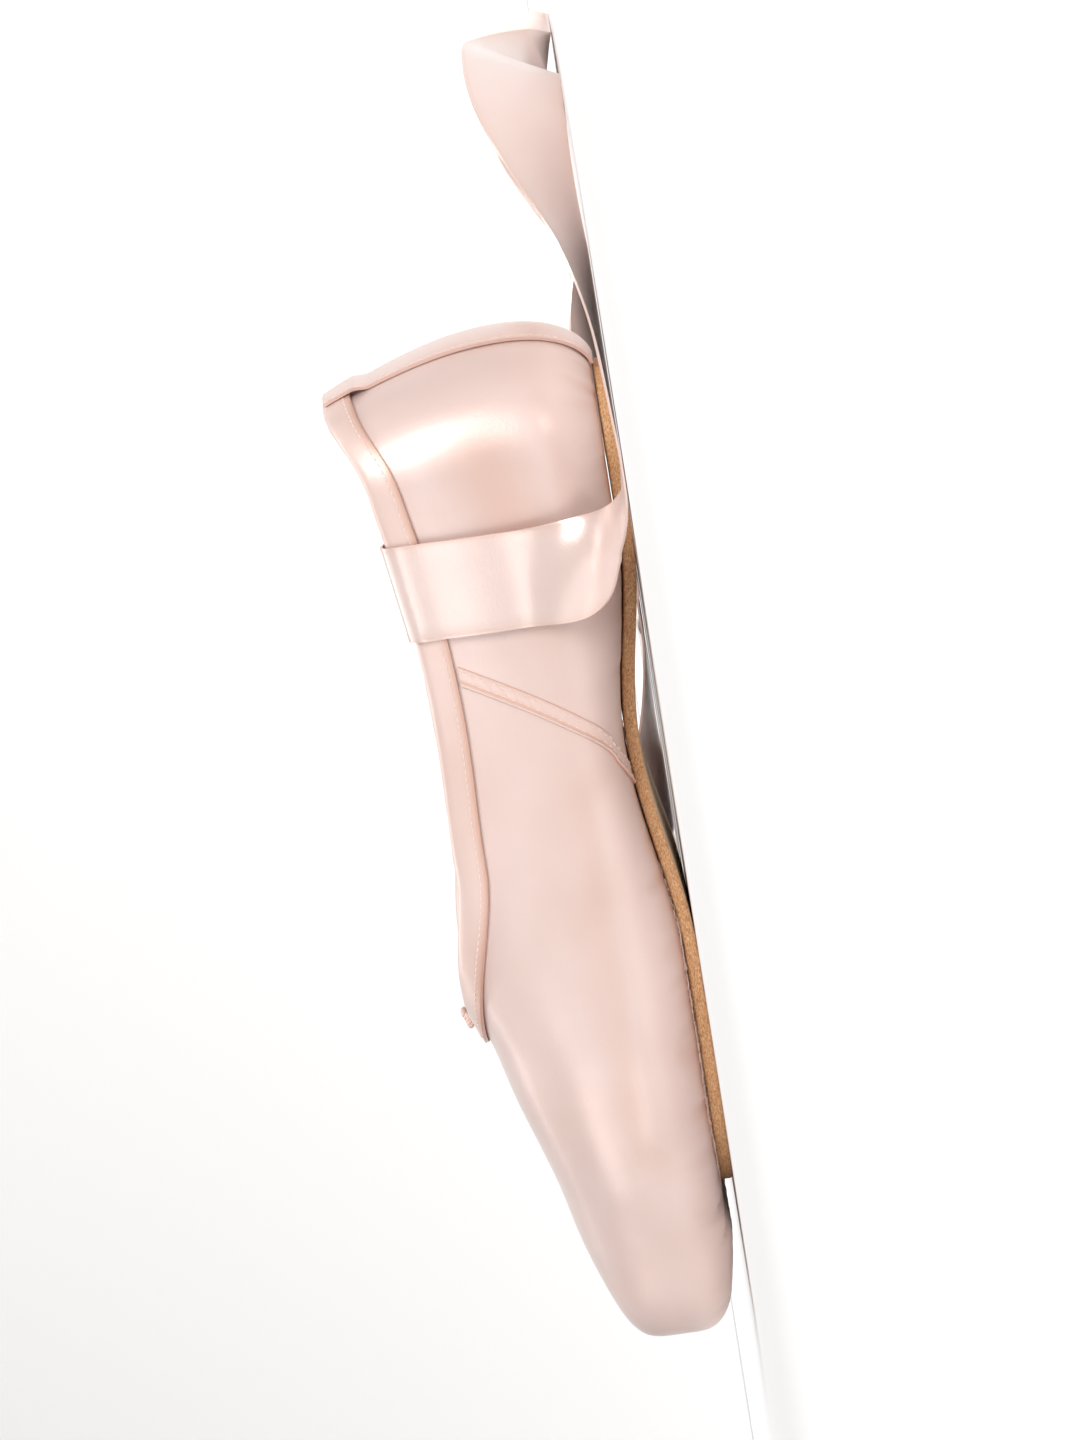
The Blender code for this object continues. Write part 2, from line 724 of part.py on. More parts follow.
def build_back_strip(columns, finish):
    """The satin strip down the back of the heel, from over the binding to the end of the outsole."""
    fine = cap_outline(200, HEEL_CENTRE, -HEEL_CAP_LENGTH, HEEL_OUTLINE_POWER)
    edge = at_arcs(fine, np.array([arc_positions(fine)[-1] - BACK_STRIP_WIDTH / 2]))[0]
    heel = [c for c in columns if c["centre"] == HEEL_CENTRE and c["along"] <= edge[1] + 1e-6]
    outer = [c for c in columns if c["centre"] == HEEL_CENTRE and c not in heel][-1:]
    shares = np.linspace(0, 1, BACK_STRIP_ROWS)
    half = []
    for column in outer + heel:
        line = np.concatenate([lower_line(column), upper_line(column)[1:]])
        start = arc_positions(lower_line(column))[-1] * BACK_STRIP_LOW_END
        end = arc_positions(line)[-1]
        half.append(at_arcs(line, start + (end - start) * shares))
    half = np.array(half)
    full = np.concatenate([half, half[::-1][1:] * np.array([-1, 1, 1])])
    sideways = np.gradient(full, axis=0)
    normal = np.cross(np.gradient(full, axis=1), sideways)
    normal /= np.linalg.norm(normal, axis=2, keepdims=True)
    length = arc_positions(full[len(full) // 2])
    down = length[-1] - length
    step = smoothstep(BINDING_HEIGHT + 5 * MM, BINDING_HEIGHT + 1 * MM, down)
    lift = (GAP + step * (BINDING_THICKNESS + GAP))[None, :, None]
    under = (full + normal * lift)[1:-1]
    over = (full + normal * (lift + BACK_STRIP_THICKNESS))[1:-1]
    rings = world(np.concatenate([under, over[:, ::-1]], axis=1))
    return skin("back_strip", rings, finish, round_trip=False, caps=True)


def wall_point(along, rise):
    """A point on the outside of the quarter, at a share of the way from the feather edge to the collar."""
    column = make_column(float(half_width(along)), along, along)
    low = lower_line(column)
    line = np.concatenate([low, upper_line(column)[1:]])
    arcs = arc_positions(line)
    start = arc_positions(low)[-1] * 0.62
    return at_arcs(line, np.array([start + (arcs[-1] - start) * rise]))[0]


def wall_normal(along, rise):
    step = 1.0 * MM
    sideways = wall_point(along + step, rise) - wall_point(along - step, rise)
    up = wall_point(along, min(rise + 0.01, 1)) - wall_point(along, max(rise - 0.01, 0))
    normal = np.cross(sideways, up)
    normal *= np.sign(normal[0])
    return normal / np.linalg.norm(normal)


def collar_share(along, depth):
    """The share of the way up the quarter that lies a depth below the collar's edge."""
    column = make_column(float(half_width(along)), along, along)
    low = lower_line(column)
    total = arc_positions(low)[-1] * 0.38 + arc_positions(upper_line(column))[-1]
    return 1 - depth / total


def seam_along(rise):
    """The side seam slants towards the heel as it rises, more steeply near the sole."""
    return SEAM_AT_SOLE + (SEAM_AT_COLLAR - SEAM_AT_SOLE) * rise**0.8


def build_seam_tape(name, side, finish):
    """The raised tape over a side seam, from the feather edge up to the binding."""
    top = collar_share(SEAM_AT_COLLAR, BINDING_HEIGHT + 1 * MM)
    rings = []
    for rise in np.linspace(0.03, top, 13):
        centre = seam_along(rise)
        ring = []
        for share, lift in ((-1, 0), (0, 0), (1, 0), (1, 1), (0, 1), (-1, 1)):
            along = centre + share * SEAM_TAPE_WIDTH / 2
            out = wall_normal(along, rise)
            ring.append(wall_point(along, rise) + out * (GAP + lift * SEAM_TAPE_THICKNESS))
        rings.append(ring)
    rings = world(np.array(rings)) * np.array([side, 1, 1])
    return skin(name, rings, finish, round_trip=False, caps=True)


def throat_front():
    """The collar's edge at the front of the throat, as x, along and z."""
    column = make_column(float(half_width(THROAT_ALONG)), THROAT_ALONG, THROAT_ALONG)
    return upper_line(column)[-1]


def build_drawstring_knot(finish):
    """The tied loop of the drawstring, where it comes out of the casing at the throat."""
    front = world(throat_front())
    lift = GAP + BINDING_THICKNESS + GAP + DRAWSTRING_DIAMETER / 2
    curve = bpy.data.curves.new("drawstring_knot", "CURVE")
    curve.dimensions = "3D"
    curve.bevel_depth = DRAWSTRING_DIAMETER / 2
    curve.bevel_resolution = 2
    curve.use_fill_caps = True
    turns = np.linspace(0.12 * math.pi, 1.88 * math.pi, 25)
    line = curve.splines.new("POLY")
    line.points.add(len(turns) - 1)
    for point, turn in zip(line.points, turns):
        x = DRAWSTRING_LOOP * math.sin(turn)
        y = front[1] + 0.5 * MM - 0.45 * DRAWSTRING_LOOP * math.cos(turn)
        z = front[2] + lift + 0.55 * MM * (1 + math.cos(turn)) - 0.7 * MM
        point.co = (x, y, z, 1)
    curve.materials.append(finish)
    obj = bpy.data.objects.new("drawstring_knot", curve)
    bpy.context.scene.collection.objects.link(obj)
    return obj


def ribbon_seat(rise, lift):
    """Where a flat ribbon clears the quarter by a lift, at a share of its height: place, outward normal
    and the direction across the ribbon. A negative lift is on the inside."""
    front = wall_point(RIBBON_ALONG + RIBBON_WIDTH / 2, rise)
    back = wall_point(RIBBON_ALONG - RIBBON_WIDTH / 2, rise)
    across = (front - back) / np.linalg.norm(front - back)
    out = wall_normal(RIBBON_ALONG, rise)
    out -= across * (out @ across)
    out /= np.linalg.norm(out)
    middle = (front + back) / 2
    bulge = max(0.0, float((wall_point(RIBBON_ALONG, rise) - middle) @ out))
    return middle + out * (lift + (bulge if lift > 0 else 0)), out, across


def drape(side):
    """The ribbon's line where the shoe shapes it, at one side: up the inside from its sewn end, over the
    binding and down the outside to the widest line. Rows of place and of the direction across it."""
    inward = WALL + 1.8 * GAP + BINDING_THICKNESS + RIBBON_CLEARANCE
    outward = GAP + BINDING_THICKNESS + RIBBON_CLEARANCE
    places, widths = [], []
    for depth in RIBBON_DEPTHS_INSIDE:
        place, out, across = ribbon_seat(collar_share(RIBBON_ALONG, depth * MM), -inward)
        places.append(place)
        widths.append(across)
    edge, out, across = ribbon_seat(1.0, 1e-9)
    up = np.cross(across, out)
    up *= np.sign(up[2])
    for angle in RIBBON_TURNS_OVER_EDGE:
        turn = math.radians(angle)
        sideways = (outward - inward) / 2 + (outward + inward) / 2 * math.cos(turn)
        places.append(edge + out * sideways + up * outward * RIBBON_ARCH * math.sin(turn))
        widths.append(across)
    for depth in RIBBON_DEPTHS_OUTSIDE:
        place, out, across = ribbon_seat(collar_share(RIBBON_ALONG, depth * MM), outward)
        places.append(place)
        widths.append(across)
    mirror = np.array([side, 1, 1])
    return world(np.array(places)) * mirror, np.array(widths) * np.array([1, -side, side])


def ribbon_line(side, floor_rows):
    """The ribbon's middle line and the direction across it, from its sewn end to its free end."""
    held, widths = drape(side)
    leave = held[-1]
    places = [tuple(p) for p in held]
    across = [tuple(w) for w in widths]
    for out, on, height, turn, lean in RIBBON_FALL:
        t, e = math.radians(turn), math.radians(lean)
        places.append((leave[0] + side * out * MM, leave[1] + side * on * MM, height * leave[2]))
        across.append((side * math.sin(t) * math.cos(e), -side * math.cos(t) * math.cos(e), math.sin(e)))
    plan = np.array([row[:2] for row in floor_rows])
    heading = np.gradient(plan, axis=0)
    heading /= np.linalg.norm(heading, axis=1, keepdims=True)
    for (x, y, lean), (hx, hy) in zip(floor_rows, heading):
        e = math.radians(lean)
        height = abs(math.sin(e)) * RIBBON_WIDTH / 2 + RIBBON_THICKNESS * 0.62
        places.append((x, y, height))
        across.append((hy * math.cos(e), -hx * math.cos(e), -math.sin(e)))
    return np.array(places), np.array(across)


def smooth_rows(rows, held):
    """A smooth curve through rows of numbers whose first three columns are a place. It has short steps
    over the first rows, where the ribbon is held, and longer ones beyond."""
    distance = arc_positions(rows[:, :3])
    fine = np.linspace(0, distance[-1], 12 * len(rows))
    dense = np.stack(
        [spline(list(zip(distance, rows[:, k])), fine) for k in range(rows.shape[1])], axis=1
    )
    arcs = arc_positions(dense[:, :3])
    bend = float(np.interp(distance[held], fine, arcs))
    near = np.linspace(0, bend, int(round(bend / HELD_STEP)) + 1)
    far = np.linspace(bend, arcs[-1], int(round((arcs[-1] - bend) / LYING_STEP)) + 1)
    wanted = np.concatenate([near, far[1:]])
    return np.stack([np.interp(wanted, arcs, dense[:, k]) for k in range(rows.shape[1])], axis=1)


def build_ribbon(name, side, floor_rows, finish):
    """One satin ribbon as a flat strap, with its width carried along its line."""
    places, across = ribbon_line(side, floor_rows)
    rows = smooth_rows(np.concatenate([places, across], axis=1), len(places) - len(floor_rows))
    line, width = rows[:, :3], rows[:, 3:]
    along = np.gradient(line, axis=0)
    along /= np.linalg.norm(along, axis=1, keepdims=True)
    width -= along * (width * along).sum(axis=1, keepdims=True)
    width /= np.linalg.norm(width, axis=1, keepdims=True)
    face = np.cross(along, width)
    rings = []
    for point, w, n in zip(line, width, face):
        w, n = w * RIBBON_WIDTH / 2, n * RIBBON_THICKNESS / 2
        ring = np.array([point - w - n, point + w - n, point + w + n, point - w + n])
        ring[:, 2] += max(0.0, FLOOR_GAP - ring[:, 2].min())
        rings.append(ring)
    return skin(name, np.array(rings), finish, round_trip=False, caps=True)


def main():
    clear_scene()
    satin = material("satin", (0.86, 0.66, 0.60), 0.35)
    satin_trim = material("satin_trim", (0.88, 0.64, 0.56), 0.4)
    ribbon_satin = material("ribbon_satin", (0.90, 0.72, 0.67), 0.3)
    leather = material("leather", (0.86, 0.70, 0.52), 0.7)
    lining = material("lining", (0.85, 0.77, 0.68), 0.9)
    columns = shoe_columns()
    build_upper(columns, satin)
    build_outsole(leather)
    build_insole(columns, lining)
    build_binding(columns, satin_trim)
    build_back_strip(columns, satin_trim)
    build_seam_tape("side_seam_tape_right", 1, satin_trim)
    build_seam_tape("side_seam_tape_left", -1, satin_trim)
    build_drawstring_knot(satin_trim)
    build_ribbon("ribbon_right", 1, RIGHT_RIBBON_FLOOR, ribbon_satin)
    build_ribbon("ribbon_left", -1, LEFT_RIBBON_FLOOR, ribbon_satin)


main()
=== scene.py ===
"""Looks of the pointe shoe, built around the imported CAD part.

The toe points to -Y, the heel to +Y and the floor is Z = 0. "Along" is a distance from the back of the heel
towards the toe. The outside of the upper is the same surface as in the part's source, with a finer mesh.
"""

import math

import bpy
import numpy as np
from mathutils import Matrix, Vector

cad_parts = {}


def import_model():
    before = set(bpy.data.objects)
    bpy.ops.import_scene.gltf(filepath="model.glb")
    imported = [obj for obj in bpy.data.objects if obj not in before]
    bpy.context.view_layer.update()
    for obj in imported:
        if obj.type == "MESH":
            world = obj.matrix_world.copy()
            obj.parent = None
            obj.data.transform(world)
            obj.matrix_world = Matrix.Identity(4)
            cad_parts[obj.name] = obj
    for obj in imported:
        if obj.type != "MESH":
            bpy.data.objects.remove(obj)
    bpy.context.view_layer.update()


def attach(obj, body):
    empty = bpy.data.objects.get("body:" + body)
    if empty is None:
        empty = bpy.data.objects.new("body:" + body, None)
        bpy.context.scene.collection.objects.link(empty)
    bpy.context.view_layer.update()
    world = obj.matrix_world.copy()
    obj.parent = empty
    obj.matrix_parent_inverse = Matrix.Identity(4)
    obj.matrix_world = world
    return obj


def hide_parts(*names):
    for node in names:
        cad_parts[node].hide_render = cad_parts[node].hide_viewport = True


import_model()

MM = 0.001

# Sizes shared with the part's source
LENGTH = 235 * MM
HEEL_WIDTH = 57 * MM
WAIST_WIDTH = 55 * MM
BALL_WIDTH = 77 * MM
PLATFORM_WIDTH = 51 * MM
PLATFORM_TOP = 28.5 * MM
VAMP_HEIGHT = 51 * MM
INSTEP_HEIGHT = 86 * MM
HEEL_CROWN = 59 * MM
WIDEST_HEIGHT = 20 * MM
VAMP_LENGTH = 80 * MM
THROAT_DEPTH = 42 * MM
TOE_CAP_LENGTH = 24 * MM
HEEL_CAP_LENGTH = 27 * MM
TOE_SPRING = 4 * MM
ARCH_RISE = 5.5 * MM
WALL = 2.0 * MM
GAP = 0.4 * MM
SOLE_THICKNESS = 3.0 * MM
SOLE_CHAMFER = 0.5 * MM
SOLE_HEEL_INSET = 10 * MM
SOLE_FRONT_INSET = 33 * MM
SOLE_FRONT_ROUND = 33 * MM
SOLE_BALL_WIDTH = 56 * MM
SOLE_WAIST_WIDTH = 25 * MM
SOLE_HEEL_WIDTH = 38 * MM
LASTING_MARGIN = 7 * MM
INSOLE_THICKNESS = 1.6 * MM
INSOLE_CLEARANCE = 0.8 * MM
INSOLE_SHARE = 0.68
BINDING_HEIGHT = 6.0 * MM
BINDING_THICKNESS = 0.9 * MM
SEAM_TAPE_WIDTH = 4.6 * MM
SEAM_TAPE_THICKNESS = 0.6 * MM
SEAM_AT_SOLE = 92 * MM
SEAM_AT_COLLAR = 66 * MM
BACK_STRIP_WIDTH = 17 * MM
BACK_STRIP_THICKNESS = 0.6 * MM
BACK_STRIP_LOW_END = 0.27
RIBBON_WIDTH = 22 * MM
RIBBON_CLEARANCE = 0.9 * MM
RIBBON_ALONG = 49 * MM
FLOOR_GAP = 0.2 * MM
HEEL_FLAT_END = 46 * MM
BALL_FLAT_START = 142 * MM
ORIGIN_ALONG = 28 * MM
THROAT_ALONG = LENGTH - VAMP_LENGTH
TOE_CENTRE = LENGTH - TOE_CAP_LENGTH
HEEL_CENTRE = HEEL_CAP_LENGTH
SOLE_FRONT = LENGTH - SOLE_FRONT_INSET
OPENING_FRONT = SOLE_FRONT - LASTING_MARGIN
TOE_OUTLINE_POWER = 3.7
HEEL_OUTLINE_POWER = 2.15
SOLE_END_POWER = 2.2

# Half widths of the last: share of LENGTH from the heel, half width
HALF_WIDTHS = [
    (0.000, 0.485 * HEEL_WIDTH),
    (0.115, 0.500 * HEEL_WIDTH),
    (0.270, 0.500 * WAIST_WIDTH),
    (0.400, 0.520 * WAIST_WIDTH),
    (0.560, 0.445 * BALL_WIDTH),
    (0.700, 0.500 * BALL_WIDTH),
    (0.810, 0.462 * BALL_WIDTH),
    (0.900, 0.590 * PLATFORM_WIDTH),
    (1.000, 0.490 * PLATFORM_WIDTH),
]

# Crown of the closed last: share of LENGTH, height. Behind the throat it only shapes the sides
CROWNS = [
    (0.000, HEEL_CROWN),
    (0.120, 0.99 * INSTEP_HEIGHT),
    (0.260, 1.00 * INSTEP_HEIGHT),
    (0.400, 0.89 * INSTEP_HEIGHT),
    (0.520, 0.76 * INSTEP_HEIGHT),
    (0.600, 1.12 * VAMP_HEIGHT),
    (0.660, 1.00 * VAMP_HEIGHT),
    (0.740, 0.90 * VAMP_HEIGHT),
    (0.820, 0.79 * VAMP_HEIGHT),
    (0.900, 1.26 * PLATFORM_TOP),
    (0.950, 1.12 * PLATFORM_TOP),
    (1.000, 1.00 * PLATFORM_TOP),
]

# Height of the widest line: share of LENGTH, height
WIDEST = [
    (0.000, 1.12 * WIDEST_HEIGHT),
    (0.250, 1.08 * WIDEST_HEIGHT),
    (0.450, 1.02 * WIDEST_HEIGHT),
    (0.700, 0.93 * WIDEST_HEIGHT),
    (0.900, 0.84 * WIDEST_HEIGHT),
    (1.000, 0.77 * WIDEST_HEIGHT),
]

# Roundness above the widest line: share of LENGTH, power
POWERS_ABOVE = [(0.0, 2.1), (0.25, 2.2), (0.5, 2.4), (0.7, 2.7), (0.85, 3.0), (0.94, 3.6), (1.0, 4.8)]

# The underside: share of LENGTH, flat share of the half width, power of the round up to the widest line
UNDERSIDES = [
    (0.000, 0.61, 2.1),
    (0.130, 0.63, 2.1),
    (0.320, 0.44, 2.3),
    (0.470, 0.55, 2.2),
    (0.600, 0.68, 2.1),
    (0.715, 0.70, 2.1),
    (0.860, 0.60, 2.3),
    (0.940, 0.50, 2.8),
    (1.000, 0.45, 3.4),
]

# The collar's edge: share of LENGTH, share of the half width
COLLAR = [
    (0.000, 0.600),
    (0.040, 0.715),
    (0.080, 0.825),
    (0.130, 0.890),
    (0.260, 0.925),
    (0.400, 0.905),
    (0.520, 0.850),
    (0.660, 0.800),
]

# Half widths of the outsole: share of LENGTH, half width
SOLE_HALF_WIDTHS = [
    (0.000, 0.485 * SOLE_HEEL_WIDTH),
    (0.130, 0.500 * SOLE_HEEL_WIDTH),
    (0.320, 0.500 * SOLE_WAIST_WIDTH),
    (0.470, 0.310 * SOLE_BALL_WIDTH),
    (0.600, 0.455 * SOLE_BALL_WIDTH),
    (0.715, 0.500 * SOLE_BALL_WIDTH),
    (0.860, 0.480 * SOLE_BALL_WIDTH),
]

# The ribbons' middle lines on the floor: x, y, lean in degrees
RIGHT_RIBBON_FLOOR = [
    (0.0510, 0.000, 0),
    (0.0520, 0.018, 0),
    (0.0510, 0.036, -4),
    (0.0460, 0.054, -20),
    (0.0350, 0.071, -48),
    (0.0170, 0.082, -66),
    (-0.0020, 0.086, -66),
    (-0.0210, 0.083, -50),
    (-0.0390, 0.077, -14),
    (-0.0560, 0.073, 16),
    (-0.0740, 0.074, 8),
    (-0.0910, 0.073, -34),
    (-0.1050, 0.063, -56),
    (-0.1110, 0.046, -46),
    (-0.1080, 0.028, -12),
    (-0.1020, 0.010, 14),
    (-0.1000, -0.008, 10),
    (-0.1040, -0.026, 0),
]
LEFT_RIBBON_FLOOR = [
    (-0.0510, -0.042, 0),
    (-0.0520, -0.060, 3),
    (-0.0550, -0.078, 14),
    (-0.0610, -0.095, 22),
    (-0.0670, -0.112, 6),
    (-0.0690, -0.130, -14),
    (-0.0670, -0.149, -22),
    (-0.0660, -0.168, -34),
    (-0.0720, -0.186, -54),
    (-0.0860, -0.197, -64),
    (-0.1030, -0.193, -58),
    (-0.1120, -0.178, -30),
    (-0.1120, -0.160, 4),
    (-0.1060, -0.143, 24),
    (-0.1020, -0.125, 16),
    (-0.1050, -0.107, -6),
    (-0.1100, -0.089, -4),
    (-0.1080, -0.071, 0),
]

# How each ribbon is led: mm below the collar's edge inside and outside, degrees and arch over the edge
RIBBON_DEPTHS_INSIDE = [27, 21, 15, 9, 3]
RIBBON_TURNS_OVER_EDGE = [160, 125, 90, 55, 20]
RIBBON_ARCH = 1.15
RIBBON_DEPTHS_OUTSIDE = [5, 12, 19, 25]

# From the widest line down to the floor: mm outwards and on, share of the height, turn and lean in degrees
RIBBON_FALL = [(4, 1, 0.62, 8, 4), (10, 5, 0.29, 34, 8), (15, 12, 0.09, 68, 4)]

# What only this script adds
SATIN_THICKNESS = 0.6 * MM
RIBBON_THICKNESS = 0.36 * MM
STITCH_PITCH = 1.7 * MM
STITCH_LENGTH = 1.15 * MM
STITCH_RADIUS = 0.16 * MM
STITCH_LIFT = 0.05 * MM
TAPE_STITCH_PITCH = 1.9 * MM
TAPE_STITCH_LENGTH = 1.2 * MM
GLOSS_SPREAD = 0.045
PUCKERS = 150
FIBRES_A_SIDE = 900

# How fine the meshes are. Columns are for the toe, the bottom, the quarter and the heel
FINE_STEPS = 160
FRONT_COLUMNS = 14
UPPER_COLUMNS = (60, 32, 92, 44)
LOWER_ROWS, UPPER_ROWS = 44, 84
INSOLE_COLUMNS = (20, 12, 40, 18)
SOLE_OUTLINE_STEPS = (70, 240, 50)
SOLE_FACE_ROWS, SOLE_EDGE_ROWS = 40, 9
SEAM_STEPS = 110

# Scored strokes of the outsole: pitch, half length as a share of it, half the space of a pair, width, depth
STROKE_PITCH = 8.2 * MM
STROKE_HALF_LENGTH = 0.36
STROKE_SPACE = 0.55 * MM
STROKE_WIDTH = 0.26 * MM
STROKE_DEPTH = 0.12 * MM
STROKES_FROM = 126 * MM

# Across the side seam's tape: share of its half width, height as a share of its thickness, painted shade at
# its edges and in the crease before its raised lip
SEAM_PROFILE = [
    (-1.00, 0.10, 0.5),
    (-0.90, 0.42, 0.2),
    (-0.60, 0.50, 0.0),
    (-0.30, 0.46, 0.0),
    (0.00, 0.44, 0.0),
    (0.30, 0.42, 0.1),
    (0.52, 0.38, 0.5),
    (0.64, 0.62, 0.35),
    (0.74, 1.05, 0.0),
    (0.86, 1.10, 0.0),
    (0.97, 0.70, 0.2),
    (1.00, 0.20, 0.9),
]
SEAM_STITCH_LANES = (2, 5)

# Across a ribbon, from the middle out: share of its half width, thickening of the woven edge
RIBBON_PROFILE = [(0.0, 0), (0.2, 0), (0.45, 0), (0.7, 0), (0.90, 0.35), (0.93, 0.8), (0.965, 1.0), (1, 0.8)]

# Down the binding's outside: mm below the collar's edge, puff of the casing, painted shade towards its lower
# edge
BINDING_PROFILE = [
    (0, 0.25, 0),
    (1.2, 0.35, 0),
    (2.4, 0.42, 0),
    (3.6, 0.36, 0),
    (4.5, 0.12, 0.10),
    (5.3, -0.10, 0.35),
    (BINDING_HEIGHT / MM, -0.30, 0.75),
]

# The drawstring's knot: points in mm from the throat's front
KNOT_LOOPS = [
    [(-1.2, 0.2, 0.3), (-2.8, 0.6, 0.6), (-4.2, -0.6, 0.5), (-4.3, -2.0, 0.3), (-2.7, -2.2, 0.5)]
    + [(-1.0, -0.9, 0.9), (0.2, 0.0, 1.1)],
    [(0.2, 0.0, 1.0), (1.4, -0.8, 0.9), (3.0, -1.6, 0.5), (4.3, -1.2, 0.3), (4.0, 0.3, 0.5)]
    + [(2.6, 0.8, 0.6), (1.0, 0.2, 0.4)],
    [(-1.1, -0.9, 0.1), (-1.2, 0.5, 0.9), (-0.3, 1.0, 1.6), (0.8, 0.4, 1.5), (1.1, -0.7, 0.9)]
    + [(0.4, -1.3, 0.2)],
]

# Colours of the satins: light and deep, mixed in random patches, and a crevice colour that is painted shade
# in the creases and crevices of the upper and its trim; on the ribbons it darkens their woven edges
LIGHT, DEEP, CREVICE_SHADE = (0.815, 0.640, 0.590), (0.775, 0.590, 0.532), (0.62, 0.30, 0.185)
TRIM_LIGHT, TRIM_DEEP = (0.82, 0.625, 0.565), (0.77, 0.56, 0.495)
RIBBON_LIGHT, RIBBON_DEEP, RIBBON_CREVICE = (0.84, 0.675, 0.625), (0.81, 0.635, 0.58), (0.72, 0.42, 0.30)

# Pleats where the satin is gathered in at the outsole's front: degrees from straight ahead seen from below,
# how far they reach from there, their depth and their half width
PLEATS = [
    (-66, 30 * MM, 0.75 * MM, 1.0 * MM),
    (-52, 36 * MM, 0.95 * MM, 1.1 * MM),
    (-38, 39 * MM, 1.10 * MM, 1.2 * MM),
    (-24, 35 * MM, 1.00 * MM, 1.2 * MM),
    (-9, 37 * MM, 0.85 * MM, 1.3 * MM),
    (7, 36 * MM, 0.95 * MM, 1.2 * MM),
    (21, 38 * MM, 0.95 * MM, 1.3 * MM),
    (34, 34 * MM, 1.10 * MM, 1.1 * MM),
    (47, 40 * MM, 1.10 * MM, 1.2 * MM),
    (59, 35 * MM, 0.90 * MM, 1.0 * MM),
    (71, 29 * MM, 0.75 * MM, 1.0 * MM),
]
PLEAT_CENTRE = SOLE_FRONT - 16 * MM

# Soft creases of the quarters and vamp, on one side: side, along and height at each end, half width, depth.
# A negative depth is a ridge
CREASES = [
    (1, 104 * MM, 13 * MM, 176 * MM, 13 * MM, 4.2 * MM, -0.50 * MM),
    (1, 100 * MM, 20 * MM, 182 * MM, 19 * MM, 5.0 * MM, 0.22 * MM),
    (1, 126 * MM, 40 * MM, 190 * MM, 27 * MM, 7.0 * MM, -0.30 * MM),
    (1, 18 * MM, 15 * MM, 80 * MM, 14 * MM, 4.0 * MM, -0.25 * MM),
    (1, 22 * MM, 30 * MM, 54 * MM, 22 * MM, 9.0 * MM, 0.40 * MM),
    (1, 30 * MM, 46 * MM, 66 * MM, 34 * MM, 7.0 * MM, -0.25 * MM),
    (-1, 102 * MM, 13 * MM, 178 * MM, 13 * MM, 4.2 * MM, -0.50 * MM),
    (-1, 104 * MM, 21 * MM, 180 * MM, 19 * MM, 5.0 * MM, 0.22 * MM),
    (-1, 130 * MM, 39 * MM, 188 * MM, 27 * MM, 7.0 * MM, -0.30 * MM),
    (-1, 20 * MM, 15 * MM, 82 * MM, 14 * MM, 4.0 * MM, -0.25 * MM),
    (-1, 24 * MM, 28 * MM, 56 * MM, 21 * MM, 9.0 * MM, 0.40 * MM),
]


class Curve:
    """A natural cubic through a short table."""

    def __init__(self, table):
        self.x = np.array([row[0] for row in table])
        self.y = np.array([row[1] for row in table])
        x, y, h = self.x, self.y, np.diff(self.x)
        size = len(x)
        matrix, right = np.eye(size), np.zeros(size)
        for i in range(1, size - 1):
            matrix[i, i - 1 : i + 2] = h[i - 1], 2 * (h[i - 1] + h[i]), h[i]
            right[i] = 6 * ((y[i + 1] - y[i]) / h[i] - (y[i] - y[i - 1]) / h[i - 1])
        self.bend = np.linalg.solve(matrix, right)

    def __call__(self, at):
        at = np.clip(at, self.x[0], self.x[-1])
        i = np.clip(np.searchsorted(self.x, at) - 1, 0, len(self.x) - 2)
        h = self.x[i + 1] - self.x[i]
        a, b = (self.x[i + 1] - at) / h, (at - self.x[i]) / h
        bend = ((a**3 - a) * self.bend[i] + (b**3 - b) * self.bend[i + 1]) * h**2 / 6
        return a * self.y[i] + b * self.y[i + 1] + bend


half_widths, crowns, widests = Curve(HALF_WIDTHS), Curve(CROWNS), Curve(WIDEST)
powers_above = Curve(POWERS_ABOVE)
flats = Curve([(share, flat) for share, flat, _ in UNDERSIDES])
powers_below = Curve([(share, power) for share, _, power in UNDERSIDES])
collars, sole_half_widths = Curve(COLLAR), Curve(SOLE_HALF_WIDTHS)


def smoothstep(start, end, value):
    t = np.clip((value - start) / (end - start), 0, 1)
    return t * t * (3 - 2 * t)


def sole_bottom(along):
    t = np.clip((along - HEEL_FLAT_END) / (BALL_FLAT_START - HEEL_FLAT_END), 0, 1)
    return ARCH_RISE * np.sin(math.pi * t) ** 2


def upper_bottom(along):
    stack = SOLE_THICKNESS + GAP
    drop = 0.5 * smoothstep(SOLE_FRONT, SOLE_FRONT + 3 * SOLE_THICKNESS, along)
    spring = np.clip((along - OPENING_FRONT) / (LENGTH - OPENING_FRONT), 0, 1) ** 2
    return sole_bottom(along) + stack * (1 - drop) + TOE_SPRING * spring


def half_width(along):
    return half_widths(along / LENGTH)


def rounded_end(distance, reach, power):
    t = np.clip(distance / reach, 0, 1)
    return (1 - t**power) ** (1 / power)


def sole_half_width(along):
    front = rounded_end(along - (SOLE_FRONT - SOLE_FRONT_ROUND), SOLE_FRONT_ROUND, SOLE_END_POWER)
    return sole_half_widths(along / LENGTH) * front


def opening_half_width(along):
    front = rounded_end(along - (SOLE_FRONT - SOLE_FRONT_ROUND), SOLE_FRONT_ROUND - LASTING_MARGIN, 2)
    return np.maximum(sole_half_widths(along / LENGTH) - LASTING_MARGIN, 0) * front


def throat(along):
    return rounded_end(along - (THROAT_ALONG - THROAT_DEPTH), THROAT_DEPTH, 2)


def arcs_of(points):
    return np.concatenate([[0], np.cumsum(np.linalg.norm(np.diff(points, axis=0), axis=1))])


def at_arcs(points, arcs):
    position = arcs_of(points)
    return np.stack([np.interp(arcs, position, points[:, k]) for k in range(points.shape[1])], axis=1)


